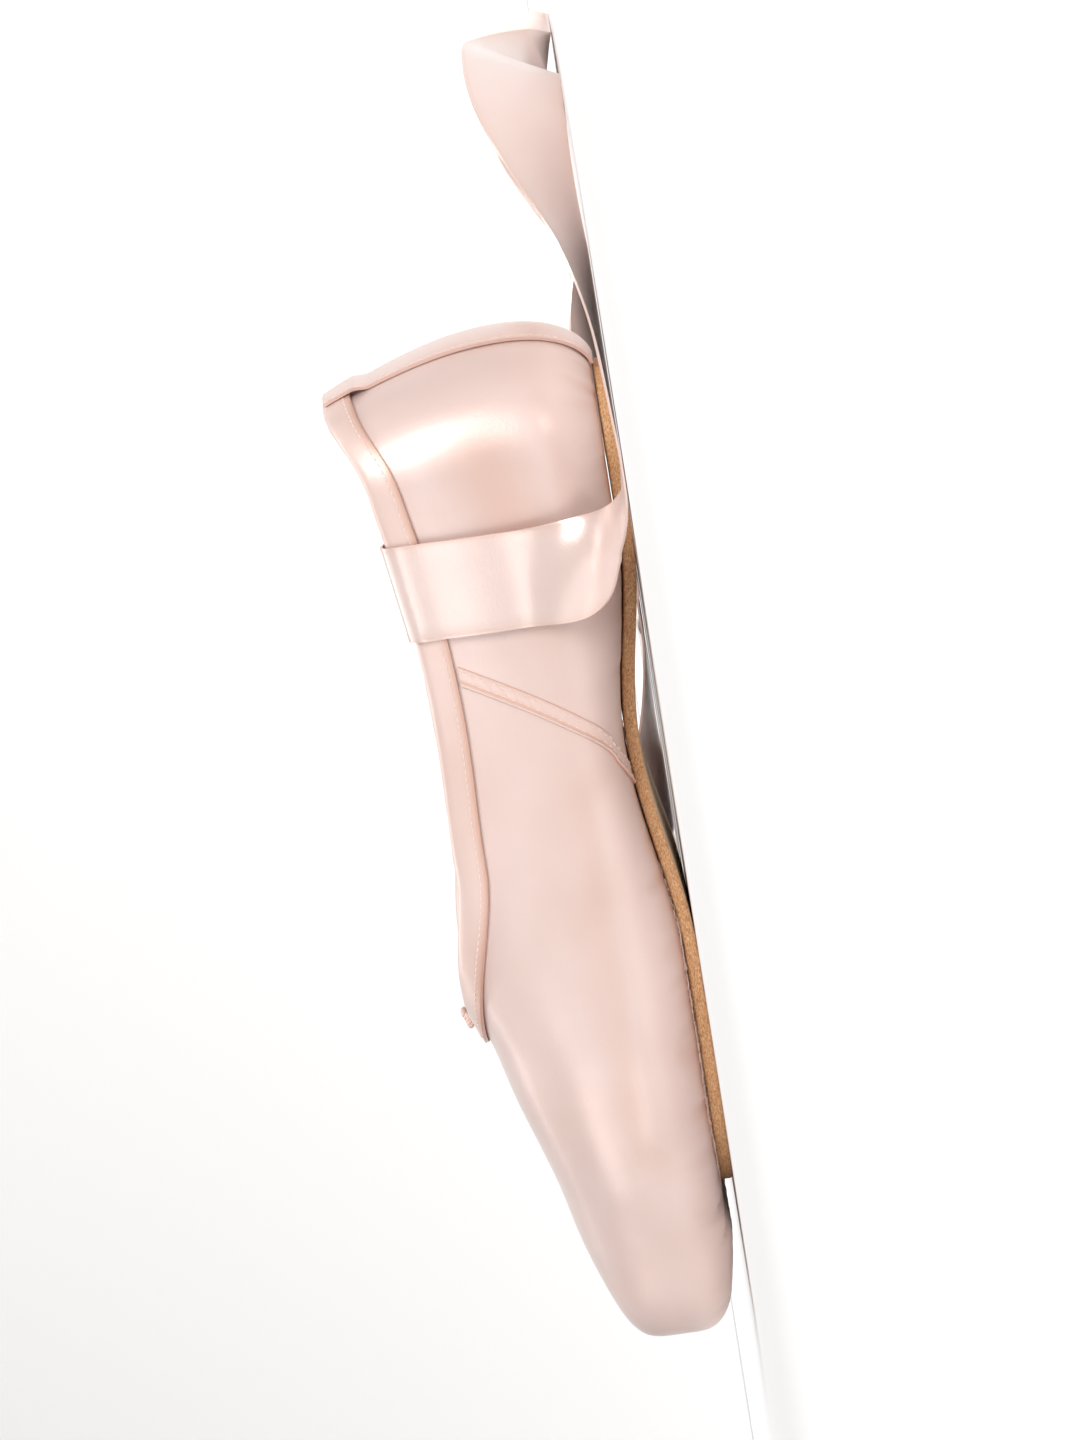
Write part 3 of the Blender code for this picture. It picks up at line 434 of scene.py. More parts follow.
def cap_outline(count, centre, reach, power):
    angle = np.linspace(0, math.pi / 2, 600)
    along = centre + reach * np.sin(angle) ** (2 / power)
    across = half_width(along) * np.cos(angle) ** (2 / power)
    fine = np.stack([across, along], axis=1)
    fine[-1, 0] = 0
    return at_arcs(fine, np.linspace(0, arcs_of(fine)[-1], count + 1))


def make_column(across, along, centre):
    """One section line of the last, straight out in plan from the middle, or from a cap's centre."""
    share = along / LENGTH
    reach = math.hypot(across, along - centre)
    if centre == HEEL_CENTRE:
        a = float(sole_half_width(HEEL_CENTRE))
        b = HEEL_CENTRE - SOLE_HEEL_INSET
        x, y = across / reach, (centre - along) / reach
        p = SOLE_END_POWER
        sole = (x**p / a**p + y**p / b**p) ** (-1 / p)
        low = (sole - LASTING_MARGIN) / reach
    elif along < OPENING_FRONT:
        low = float(opening_half_width(along)) / across
    else:
        low = 0.0
    high = float(collars(share) * throat(along)) if along < THROAT_ALONG else 0.0
    return {
        "across": across,
        "along": along,
        "centre": centre,
        "low": low,
        "high": high,
        "above": float(powers_above(share)),
        "flat": float(flats(share)),
        "below": float(powers_below(share)),
    }


def drop_below(share, flat, power):
    t = np.clip((share - flat) / (1 - flat), 0, 1)
    return (1 - t**power) ** (1 / power)


def column_points(column, shares, upper):
    across = column["across"] * shares
    along = column["centre"] + (column["along"] - column["centre"]) * shares
    widest = widests(along / LENGTH)
    if upper:
        power = column["above"]
        rise = (1 - np.clip(shares, 0, 1) ** power) ** (1 / power)
        z = widest + (crowns(along / LENGTH) - widest) * rise
    else:
        z = widest - (widest - upper_bottom(along)) * drop_below(shares, column["flat"], column["below"])
    return np.stack([across, along, z], axis=1)


def lower_line(column):
    angle = np.linspace(0, math.pi / 2, FINE_STEPS)
    rounded = column["flat"] + (1 - column["flat"]) * np.sin(angle) ** (2 / column["below"])
    level = np.linspace(column["low"], column["flat"], FINE_STEPS // 2)
    shares = np.concatenate([level[:-1], rounded]) if column["low"] < column["flat"] else rounded
    return column_points(column, shares, upper=False)


def upper_line(column):
    power = column["above"]
    last = math.acos(min(1.0, column["high"] ** (power / 2)))
    shares = np.cos(np.linspace(0, last, FINE_STEPS)) ** (2 / power)
    shares[-1] = column["high"]
    return column_points(column, shares, upper=True)


def eased(start, end, count):
    return start + (end - start) * (1 - np.cos(np.linspace(0, math.pi / 2, count + 1)))


def both_eased(start, end, count):
    return start + (end - start) * (1 - np.cos(np.linspace(0, math.pi, count + 1))) / 2


def shoe_columns(toe_count, bottom_count, quarter_count, heel_count):
    toe = cap_outline(toe_count, TOE_CENTRE, TOE_CAP_LENGTH, TOE_OUTLINE_POWER)[::-1]
    rows = [(x, along, TOE_CENTRE) for x, along in toe]
    before = np.linspace(TOE_CENTRE, OPENING_FRONT, FRONT_COLUMNS)[1:-1]
    bottom = both_eased(OPENING_FRONT, THROAT_ALONG, bottom_count)
    quarter = eased(THROAT_ALONG, HEEL_CENTRE, quarter_count)
    for along in [*before, *bottom, *quarter[1:-1]]:
        rows.append((float(half_width(along)), float(along), float(along)))
    heel = cap_outline(heel_count, HEEL_CENTRE, -HEEL_CAP_LENGTH, HEEL_OUTLINE_POWER)
    rows += [(x, along, HEEL_CENTRE) for x, along in heel]
    return [make_column(*row) for row in rows]


def column_rows(column, lower, upper):
    low, high = lower_line(column), upper_line(column)
    below = at_arcs(low, np.linspace(0, arcs_of(low)[-1], lower + 1))
    above = at_arcs(high, np.linspace(0, arcs_of(high)[-1], upper + 1))
    return np.concatenate([below, above[1:]])


def mirrored_loop(half):
    """A round of columns from those of the right half, which start and end on the middle."""
    return np.concatenate([half, half[::-1][1:-1] * np.array([-1, 1, 1])])


def normals_of(loop):
    sideways = np.roll(loop, -1, axis=0) - np.roll(loop, 1, axis=0)
    normal = np.cross(np.gradient(loop, axis=1), sideways)
    return normal / np.maximum(np.linalg.norm(normal, axis=2, keepdims=True), 1e-12)


def flatten_on_middle(loop, normal):
    """Makes the normals on the mirror plane lie in it, one for each place."""
    middle = np.abs(loop[:, :, 0]) < 1e-9
    normal[middle, 0] = 0
    found = {}
    for key, i, j in sorted((tuple(np.round(loop[i, j], 7)), i, j) for i, j in np.argwhere(middle)):
        found.setdefault(key, []).append((i, j))
    for places in found.values():
        mean = sum(normal[i, j] for i, j in places)
        size = np.linalg.norm(mean)
        for i, j in places:
            normal[i, j] = mean / size if size > 1e-9 else (0, 0, 1)
    return normal / np.linalg.norm(normal, axis=2, keepdims=True)


def top_point(share, along):
    power = float(powers_above(along / LENGTH))
    widest = float(widests(along / LENGTH))
    rise = (1 - min(abs(share), 1) ** power) ** (1 / power)
    z = widest + (float(crowns(along / LENGTH)) - widest) * rise
    return np.array([share * float(half_width(along)), along, z])


def top_normal(share, along):
    probe = 0.01
    by_share = top_point(share + probe, along) - top_point(share - probe, along)
    by_along = top_point(share, along + MM) - top_point(share, along - MM)
    normal = np.cross(by_along, by_share)
    return normal * np.sign(normal[2]) / np.linalg.norm(normal)


def exact_on_top(columns, loop, normal, first):
    """Puts the surface's own normals on the upper half, where collar and columns run almost together."""
    count = len(loop)
    for i, column in enumerate(columns):
        if column["centre"] != column["along"]:
            continue
        for j in range(first, loop.shape[1]):
            share = loop[i, j, 0] / column["across"]
            if share < 0.95:
                normal[i, j] = top_normal(share, column["along"])
                normal[-i % count, j] = normal[i, j] * np.array([-1, 1, 1])
    return normal


def world(points):
    """From across, along and height to the part's frame."""
    return np.stack([points[..., 0], ORIGIN_ALONG - points[..., 1], points[..., 2]], axis=-1)


def wave(x, y, z, seed):
    """A slow, repeatable unevenness between about -1 and 1."""
    rng = np.random.RandomState(seed)
    total = 0
    for _ in range(5):
        k = rng.normal(size=3)
        k /= np.linalg.norm(k)
        slope = k[0] * x + k[1] * y + k[2] * z
        total = total + np.sin(slope * rng.uniform(0.7, 1.6) + rng.uniform(0, 6.28))
    return total / 3.2


# Materials


def new_material(name, colour, roughness, **sockets):
    made = bpy.data.materials.new(name)
    made.use_nodes = True
    shader = made.node_tree.nodes["Principled BSDF"]
    shader.inputs["Base Color"].default_value = (*colour, 1)
    shader.inputs["Roughness"].default_value = roughness
    for key, value in sockets.items():
        shader.inputs[key.replace("_", " ")].default_value = value
    return made


def link(tree, a, out, b, into):
    tree.links.new(a.outputs[out], b.inputs[into])


def add_noise(tree, scale, detail=3.0, stretch=(1, 1, 1), roughness=0.5):
    place = tree.nodes.new("ShaderNodeTexCoord")
    mapping = tree.nodes.new("ShaderNodeMapping")
    mapping.inputs["Scale"].default_value = stretch
    noise = tree.nodes.new("ShaderNodeTexNoise")
    noise.inputs["Scale"].default_value = scale
    noise.inputs["Detail"].default_value = detail
    noise.inputs["Roughness"].default_value = roughness
    link(tree, place, "Object", mapping, "Vector")
    link(tree, mapping, "Vector", noise, "Vector")
    return noise


def add_ramp(tree, source, output, stops):
    ramp = tree.nodes.new("ShaderNodeValToRGB")
    link(tree, source, output, ramp, "Fac")
    elements = ramp.color_ramp.elements
    while len(elements) < len(stops):
        elements.new(0.5)
    for element, (position, colour) in zip(elements, stops):
        element.position = position
        element.color = (*colour, 1) if len(colour) == 3 else colour
    return ramp


def add_bump(tree, source, output, distance, strength=1.0, after=None):
    bump = tree.nodes.new("ShaderNodeBump")
    bump.inputs["Distance"].default_value = distance
    bump.inputs["Strength"].default_value = strength
    link(tree, source, output, bump, "Height")
    if after is not None:
        link(tree, after, "Normal", bump, "Normal")
    return bump


def mix_colour(tree, factor, output, first, second, amount=None):
    """first and second are colours, or a node and its output."""
    mix = tree.nodes.new("ShaderNodeMix")
    mix.data_type = "RGBA"
    if factor is None:
        mix.inputs[0].default_value = amount
    else:
        link(tree, factor, output, mix, 0)
    for socket, value in ((6, first), (7, second)):
        if isinstance(value[0], float):
            mix.inputs[socket].default_value = (*value, 1)
        else:
            tree.links.new(value[0].outputs[value[1]], mix.inputs[socket])
    return mix


def satin_material(name, light, deep, crevice, roughness, streak=(90, 5, 90)):
    """Satin: a soft broad sheen, fine streaks along the weave, random patches of a deeper tone, and the
    crevice colour mixed in by the crease attribute, which is painted shade on the upper and its trim.
    """
    made = new_material(
        name,
        light,
        roughness,
        Sheen_Weight=0.20,
        Sheen_Roughness=0.35,
        Coat_Weight=0.30,
        Coat_Roughness=0.24,
        Specular_IOR_Level=0.70,
        Metallic=0.22,
    )
    tree = made.node_tree
    shader = tree.nodes["Principled BSDF"]
    slow = add_noise(tree, 38, 2.0)
    patches = add_ramp(tree, slow, "Fac", [(0.35, (0, 0, 0)), (0.68, (1, 1, 1))])
    tone = mix_colour(tree, patches, "Color", light, deep)
    # The crease attribute mixes in the crevice colour: painted shade on the upper and its trim, darker woven
    # edges on the ribbons
    crease = tree.nodes.new("ShaderNodeAttribute")
    crease.attribute_name = "crease"
    shaded = mix_colour(tree, crease, "Fac", (tone, 2), crevice)
    tree.links.new(shaded.outputs[2], shader.inputs["Base Color"])
    threads = add_noise(tree, 60, 4.0, streak)
    uneven = add_noise(tree, 160, 3.0)
    grain = add_noise(tree, 1500, 2.0)
    first = add_bump(tree, threads, "Fac", 0.05 * MM, 0.55)
    second = add_bump(tree, uneven, "Fac", 0.10 * MM, 0.35, first)
    third = add_bump(tree, grain, "Fac", 0.05 * MM, 0.35, second)
    link(tree, third, "Normal", shader, "Normal")
    gloss = add_noise(tree, 55, 3.0, (1, 0.5, 1))
    glossy, dull = roughness - GLOSS_SPREAD, roughness + GLOSS_SPREAD
    rough = add_ramp(tree, gloss, "Fac", [(0.3, (glossy,) * 3), (0.7, (dull,) * 3)])
    link(tree, rough, "Color", shader, "Roughness")
    return made


def plain_cloth(name, colour, second, scale=900):
    made = new_material(name, colour, 0.85, Sheen_Weight=0.2, Sheen_Roughness=0.6)
    tree = made.node_tree
    shader = tree.nodes["Principled BSDF"]
    blotch = add_noise(tree, 60, 4.0)
    tone = mix_colour(tree, blotch, "Fac", colour, second)
    tree.links.new(tone.outputs[2], shader.inputs["Base Color"])
    place = tree.nodes.new("ShaderNodeTexCoord")
    waves = []
    for direction in ("X", "Y"):
        weave = tree.nodes.new("ShaderNodeTexWave")
        weave.bands_direction = direction
        weave.inputs["Scale"].default_value = scale
        weave.inputs["Distortion"].default_value = 1.2
        weave.inputs["Detail"].default_value = 1
        link(tree, place, "Object", weave, "Vector")
        waves.append(weave)
    both = tree.nodes.new("ShaderNodeMath")
    both.operation = "ADD"
    link(tree, waves[0], "Fac", both, 0)
    link(tree, waves[1], "Fac", both, 1)
    link(tree, add_bump(tree, both, "Value", 0.12 * MM, 0.6), "Normal", shader, "Normal")
    return made


def sole_leather():
    """Pale buffed leather with fine grain and a raw brown edge, which its vertices mark."""
    made = new_material("sole_leather", (0.83, 0.66, 0.47), 0.62, Specular_IOR_Level=0.35)
    tree = made.node_tree
    shader = tree.nodes["Principled BSDF"]
    blotch = add_noise(tree, 45, 5.0)
    face = mix_colour(tree, blotch, "Fac", (0.88, 0.72, 0.55), (0.80, 0.61, 0.42))
    edge = tree.nodes.new("ShaderNodeAttribute")
    edge.attribute_name = "edge"
    fibre = add_noise(tree, 1500, 4.0, (1, 1, 3))
    browns = [(0.3, (0.36, 0.17, 0.07)), (0.5, (0.60, 0.32, 0.15)), (0.7, (0.78, 0.50, 0.28))]
    brown = add_ramp(tree, fibre, "Fac", browns)
    whole = mix_colour(tree, edge, "Fac", (face, 2), (brown, "Color"))
    tree.links.new(whole.outputs[2], shader.inputs["Base Color"])
    grain = add_noise(tree, 1400, 4.0)
    first = add_bump(tree, grain, "Fac", 0.10 * MM, 0.5)
    link(tree, add_bump(tree, fibre, "Fac", 0.25 * MM, 0.35, first), "Normal", shader, "Normal")
    return made


# Each satin's roughness, with its spread, stays on one side of 0.27, where the denoiser draws faint marks
satin = satin_material("satin", LIGHT, DEEP, CREVICE_SHADE, 0.36)
trim_satin = satin_material("satin_trim", TRIM_LIGHT, TRIM_DEEP, CREVICE_SHADE, 0.40)
ribbon_satin = satin_material("ribbon_satin", RIBBON_LIGHT, RIBBON_DEEP, RIBBON_CREVICE, 0.22)
thread = new_material("thread", (0.88, 0.68, 0.59), 0.6, Sheen_Weight=0.2)
lining = plain_cloth("lining", (0.88, 0.79, 0.70), (0.83, 0.73, 0.63))
sock = plain_cloth("sock", (0.85, 0.74, 0.64), (0.80, 0.68, 0.57), 700)
leather = sole_leather()
fluff = new_material("frayed_satin", (0.90, 0.73, 0.66), 0.7, Sheen_Weight=0.4)


# Meshes


def add_object(name, vertices, faces, finish, attributes=None, sharp=38):
    mesh = bpy.data.meshes.new(name)
    mesh.from_pydata(np.asarray(vertices).tolist(), [], faces)
    mesh.shade_smooth()
    mesh.set_sharp_from_angle(angle=math.radians(sharp))
    mesh.materials.append(finish)
    for key, values in (attributes or {}).items():
        layer = mesh.attributes.new(key, "FLOAT", "POINT")
        layer.data.foreach_set("value", np.asarray(values, dtype=np.float32))
    obj = bpy.data.objects.new(name, mesh)
    bpy.context.scene.collection.objects.link(obj)
    mesh.update()
    return obj


def cut_short(face, vertices):
    """A much skewed face of four corners as two triangles, cut along its shorter diagonal."""
    if len(face) < 4 or len(set(face)) < 4:
        return [face]
    a, b, c, d = (vertices[n] for n in face)
    one, other = ((a - c) ** 2).sum(), ((b - d) ** 2).sum()
    if max(one, other) < 1.5 * min(one, other):
        return [face]
    if one < other:
        return [[face[0], face[1], face[2]], [face[0], face[2], face[3]]]
    return [[face[0], face[1], face[3]], [face[1], face[2], face[3]]]


def skin(name, rings, finish, round_trip, caps=False, attributes=None, sharp=38):
    """A solid from rings of points, each closed on itself, as in the part's source."""
    rings = np.asarray(rings)
    keys = np.round(rings / (0.001 * MM)).astype(np.int64).reshape(-1, 3)
    _, first, inverse = np.unique(keys, axis=0, return_index=True, return_inverse=True)
    inverse = inverse.reshape(-1)
    ids = inverse.reshape(rings.shape[:2])
    vertices = rings.reshape(-1, 3)[first]
    values = {k: np.asarray(v).reshape(-1)[first] for k, v in (attributes or {}).items()}
    count = rings.shape[1]
    faces = []
    for i in range(len(rings) if round_trip else len(rings) - 1):
        here, there = ids[i], ids[(i + 1) % len(rings)]
        for j in range(count):
            k = (j + 1) % count
            corners = [here[j], here[k], there[k], there[j]]
            face = [int(c) for n, c in enumerate(corners) if c != corners[n - 1]]
            if len(set(face)) < 3:
                continue
            for part in cut_short(face, vertices):
                if any(abs(vertices[c][0]) > 1e-7 for c in part):
                    faces.append(part)
    if caps:
        faces.append([int(c) for c in ids[0][::-1]])
        faces.append([int(c) for c in ids[-1]])
    obj = add_object(name, vertices, faces, finish, values, sharp)
    mesh = obj.data
    mesh.calc_loop_triangles()
    points = np.array([v.co[:] for v in mesh.vertices])
    triangles = np.array([t.vertices[:] for t in mesh.loop_triangles])
    if np.linalg.det(points[triangles]).sum() < 0:
        mesh.flip_normals()
    return obj


def dress(obj, slot, *nodes):
    """Ties a piece to the part, in place of any nodes that are named. The slot is not used."""
    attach(obj, "root")
    if nodes:
        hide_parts(*nodes)


def tube_mesh(paths, radius, sides=6, taper=False):
    """Vertices and faces of round threads along several short paths, closed at both ends."""
    vertices, faces = [], []
    for path in paths:
        path = np.asarray(path)
        tangent = np.gradient(path, axis=0)
        tangent /= np.maximum(np.linalg.norm(tangent, axis=1, keepdims=True), 1e-12)
        side = np.cross(tangent, (0.31, 0.17, 0.94))
        side /= np.maximum(np.linalg.norm(side, axis=1, keepdims=True), 1e-12)
        other = np.cross(tangent, side)
        start = len(vertices)
        for i, point in enumerate(path):
            share = i / (len(path) - 1)
            ends = (1 - 0.85 * share) if taper else min(1, 0.45 + 3 * min(share, 1 - share))
            size = radius * ends
            for k in range(sides):
                angle = 2 * math.pi * k / sides
                vertices.append(point + (side[i] * math.cos(angle) + other[i] * math.sin(angle)) * size)
        for i in range(len(path) - 1):
            for k in range(sides):
                a, b = start + i * sides + k, start + i * sides + (k + 1) % sides
                faces.append([a, b, b + sides, a + sides])
        faces.append([start + k for k in range(sides)][::-1])
        last = start + (len(path) - 1) * sides
        faces.append([last + k for k in range(sides)])
    return vertices, faces


# The upper: one fine surface, shaped by its pleats and soft creases, with a satin skin and a lining

columns = shoe_columns(*UPPER_COLUMNS)
surface = mirrored_loop(np.array([column_rows(c, LOWER_ROWS, UPPER_ROWS) for c in columns]))
normals = flatten_on_middle(surface, exact_on_top(columns, surface, normals_of(surface), LOWER_ROWS + 2))
X, ALONG, Z = surface[..., 0], surface[..., 1], surface[..., 2]


def segment_distance(px, py, ax, ay, bx, by):
    """Distance from a line between two points, and how far along it."""
    dx, dy = bx - ax, by - ay
    t = np.clip(((px - ax) * dx + (py - ay) * dy) / (dx * dx + dy * dy), 0, 1)
    return np.hypot(px - ax - t * dx, py - ay - t * dy), t


relief = np.zeros(X.shape)
groove_shade = np.zeros(X.shape)
radius = np.hypot(X, ALONG - PLEAT_CENTRE)
bearing = np.arctan2(X, ALONG - PLEAT_CENTRE)
up_share = smoothstep(10 * MM, 26 * MM, Z)
for degrees, reach, depth, width in PLEATS:
    bend = 0.10 * np.sin(radius / (9 * MM) + degrees)
    offset = (bearing - math.radians(degrees) - 0.12 * bend) * radius
    near = smoothstep(13 * MM, 17 * MM, radius)
    travelled = radius + Z * 0.9
    fade = near * (1 - smoothstep(0.62 * reach, reach + 5 * MM, travelled)) * (1 - up_share)
    fade = fade * (np.cos(np.clip(bearing - math.radians(degrees), -1.5, 1.5)) > 0)
    width_here = width * (0.55 + 0.5 * radius / (30 * MM))
    groove = np.exp(-((offset / (0.42 * width_here)) ** 2))
    roll = np.exp(-(((offset - 1.35 * width_here) / (1.0 * width_here)) ** 2))
    relief += fade * depth * (0.62 * roll - 1.0 * groove)
    # Painted shade in the pleat's groove
    groove_shade += fade * 0.75 * groove

for side, a0, z0, a1, z1, width, depth in CREASES:
    distance, t = segment_distance(ALONG, Z, a0, z0, a1, z1)
    mask = smoothstep(0.3, 0.75, side * X / np.maximum(half_width(ALONG), 1e-6))
    relief -= mask * depth * np.exp(-((distance / width) ** 2))

# Small puckers all round, above the feather line where the satin is pulled over the sole's edge
round_arc = arcs_of(surface[:, LOWER_ROWS // 2])
rows_below = slice(0, LOWER_ROWS + 12)
rng = np.random.RandomState(7)
for _ in range(PUCKERS):
    centre = rng.uniform(0, round_arc[-1])
    width = rng.uniform(0.9, 2.0) * MM
    depth = rng.uniform(0.05, 0.22) * MM
    reach = rng.uniform(5, 13) * MM
    lean = rng.uniform(-0.5, 0.5)
    height = Z[:, rows_below]
    shift = round_arc[:, None] - centre - lean * (height - 5 * MM)
    side = np.exp(-((shift / width) ** 2)) - 0.6 * np.exp(-(((shift - 1.5 * width) / width) ** 2))
    fade = (1 - smoothstep(0.35 * reach, reach, height - 3 * MM)) * smoothstep(2 * MM, 4.5 * MM, height)
    relief[:, rows_below] -= depth * side * fade

slow_wave = 0.16 * MM * wave(X * 95, ALONG * 70, Z * 110, 3)
relief += slow_wave + 0.05 * MM * wave(X * 300, ALONG * 230, Z * 330, 4)
collar_depth = np.stack([arcs_of(line)[-1] - arcs_of(line) for line in surface])
below_binding = smoothstep(5.5 * MM, 12 * MM, collar_depth)
collared = np.array([c["high"] > 0 or c["along"] <= THROAT_ALONG for c in columns])
collared = np.concatenate([collared, collared[::-1][1:-1]])
relief = np.where(collared[:, None], relief * below_binding, relief)

# Over the outsole the skin stays where it is, so that the two don't meet
sole_reach = np.where(
    ALONG < HEEL_CENTRE,
    np.hypot(X, HEEL_CENTRE - ALONG) - (HEEL_CENTRE - SOLE_HEEL_INSET),
    np.abs(X) - sole_half_width(ALONG),
)
over_sole = (ALONG < SOLE_FRONT) & (Z < WIDEST_HEIGHT * 0.6)
free_of_sole = np.where(over_sole, smoothstep(-0.5 * MM, 2.5 * MM, sole_reach), 1)
relief *= free_of_sole
middle = np.abs(X) < 1e-9
same = {}
for key, i, j in sorted((tuple(np.round(surface[i, j], 7)), i, j) for i, j in np.argwhere(middle)):
    same.setdefault(key, []).append((i, j))
for places in same.values():
    mean = np.mean([relief[p] for p in places])
    for p in places:
        relief[p] = mean

outer = surface + normals * relief[..., None]
satin_inside = surface + normals * (np.minimum(relief, 0) - SATIN_THICKNESS)[..., None]
# Painted shade for the crease attribute: the pleats' grooves, the crevice where the satin meets the outsole,
# and the dents of the relief
sole_crevice_shade = np.where(over_sole, np.exp(-((np.clip(sole_reach, 0, None) / (2.0 * MM)) ** 2)), 0)
tone = np.clip(groove_shade + 0.75 * sole_crevice_shade, 0, 1)
tone = np.maximum(tone, 0.35 * np.clip(-relief / (0.6 * MM), 0, 1))
rings = world(np.concatenate([outer, satin_inside[:, ::-2]], axis=1))
tones = np.concatenate([tone, tone[:, ::-2]], axis=1)
upper_satin = skin("upper_satin", rings, satin, True, attributes={"crease": tones}, sharp=70)
dress(upper_satin, "satin", "upper")

step = (slice(None, None, 2), slice(None, None, 4))
coarse, coarse_normal = surface[step], normals[step]
lift = np.minimum(relief[step], 0) - SATIN_THICKNESS - 0.06 * MM
lining_out = coarse + coarse_normal * lift[..., None]
depth = WALL + 0.1 * MM * wave(coarse[..., 0] * 90, coarse[..., 1] * 80, coarse[..., 2] * 90, 9)
lining_in = coarse - coarse_normal * depth[..., None]
rings = world(np.concatenate([lining_out, lining_in[:, ::-1]], axis=1))
upper_lining = skin("upper_lining", rings, lining, True, sharp=70)
dress(upper_lining, "lining", "upper")


# The outsole: face, eased edge and a raw, slightly ragged side


def last_share(across, along):
    side = np.abs(across) / half_width(np.maximum(along, HEEL_CENTRE))
    back = np.clip(HEEL_CENTRE - along, 0, None) / HEEL_CAP_LENGTH
    return (side**HEEL_OUTLINE_POWER + back**HEEL_OUTLINE_POWER) ** (1 / HEEL_OUTLINE_POWER)


def underside(across, along):
    share = last_share(across, along)
    widest = widests(along / LENGTH)
    drop = drop_below(share, flats(along / LENGTH), powers_below(along / LENGTH))
    return widest - (widest - upper_bottom(along)) * drop


def sole_outline(front_count, middle_count, heel_count):
    front_centre = SOLE_FRONT - SOLE_FRONT_ROUND
    angle = np.linspace(math.pi / 2, 0, front_count)
    along = front_centre + SOLE_FRONT_ROUND * np.sin(angle) ** (2 / SOLE_END_POWER)
    width = sole_half_widths(along / LENGTH) * np.cos(angle) ** (2 / SOLE_END_POWER)
    width[0] = 0
    rows = [(float(w), float(a), front_centre) for w, a in zip(width, along)]
    for a in np.linspace(front_centre, HEEL_CENTRE, middle_count)[1:-1]:
        rows.append((float(sole_half_width(a)), float(a), float(a)))
    angle = np.linspace(0, math.pi / 2, heel_count)
    along = HEEL_CENTRE - (HEEL_CENTRE - SOLE_HEEL_INSET) * np.sin(angle) ** (2 / SOLE_END_POWER)
    width = sole_half_widths(along / LENGTH) * np.cos(angle) ** (2 / SOLE_END_POWER)
    width[-1] = 0
    rows += [(float(w), float(a), HEEL_CENTRE) for w, a in zip(width, along)]
    return rows


half = []
outline = sole_outline(*SOLE_OUTLINE_STEPS)
for across, along, centre in outline:
    reach = math.hypot(across, along - centre)
    ring = []
    inner = 1 - SOLE_CHAMFER / reach
    shares = np.concatenate([np.linspace(0, 0.9, SOLE_FACE_ROWS), np.linspace(0.9, inner, 8)[1:]])
    for share in shares:
        q = centre + (along - centre) * share
        ring.append((across * share, q, float(sole_bottom(q))))
    q = centre + (along - centre) * inner
    flat = float(sole_bottom(q)) + SOLE_THICKNESS
    top_z = min(float(underside(across * inner, q)) - GAP, flat + SOLE_CHAMFER)
    low_z = float(sole_bottom(along)) + SOLE_CHAMFER * 0.7
    high_z = top_z - SOLE_CHAMFER * 0.6
    for t in np.linspace(0, 1, SOLE_EDGE_ROWS):
        ring.append((across, along, low_z + (high_z - low_z) * t))
    for share in (inner, 0.5, 0):
        x, q = across * share, centre + (along - centre) * share
        flat = float(sole_bottom(q)) + SOLE_THICKNESS
        ring.append((x, q, min(float(underside(x, q)) - GAP, flat + SOLE_CHAMFER)))
    half.append(ring)
sole = mirrored_loop(np.array(half))
face_count = len(shares)
side_rows = slice(face_count, face_count + SOLE_EDGE_ROWS)
edge_value = np.zeros(sole.shape[:2])
edge_value[:, side_rows] = 1
edge_value[:, face_count - 1] = 0.55
edge_value[:, face_count - 2] = 0.12
edge_value[:, face_count + SOLE_EDGE_ROWS] = 1
out = sole[:, face_count + 4, :2] - sole[:, face_count - 6, :2]
out /= np.linalg.norm(out, axis=1, keepdims=True)
rng = np.random.RandomState(11)
ragged = rng.normal(size=(len(sole), SOLE_EDGE_ROWS)) * 0.045 * MM
ragged = (ragged + np.roll(ragged, 1, axis=0)) * 0.8
bulge = 0.12 * MM * np.sin(np.linspace(0, math.pi, SOLE_EDGE_ROWS))[None, :]
sole[:, side_rows, 0] += out[:, None, 0] * (ragged + bulge - 0.05 * MM)
sole[:, side_rows, 1] += out[:, None, 1] * (ragged + bulge - 0.05 * MM)
sole[[0, len(half) - 1], :, 0] = 0
outsole = skin("outsole_leather", world(sole), leather, True, attributes={"edge": edge_value}, sharp=50)
dress(outsole, "leather", "outsole")


def strokes():
    """Ends of the short strokes on the forefoot, laid as a plain basket of crossing pairs."""
    marks = []
    for i in range(-6, 7):
        for j in range(0, 11):
            x = (i + 0.5 * (j % 2)) * STROKE_PITCH * 0.92
            a = STROKES_FROM + j * STROKE_PITCH * 0.86
            for turn in (38, -38):
                t = math.radians(turn)
                dx, da = (f * STROKE_PITCH * STROKE_HALF_LENGTH for f in (math.sin(t), math.cos(t)))
                for s in (-1, 1):
                    ox, oa = s * STROKE_SPACE * math.cos(t), -s * STROKE_SPACE * math.sin(t)
                    marks.append((x - dx + ox, a - da + oa, x + dx + ox, a + da + oa))
    return marks


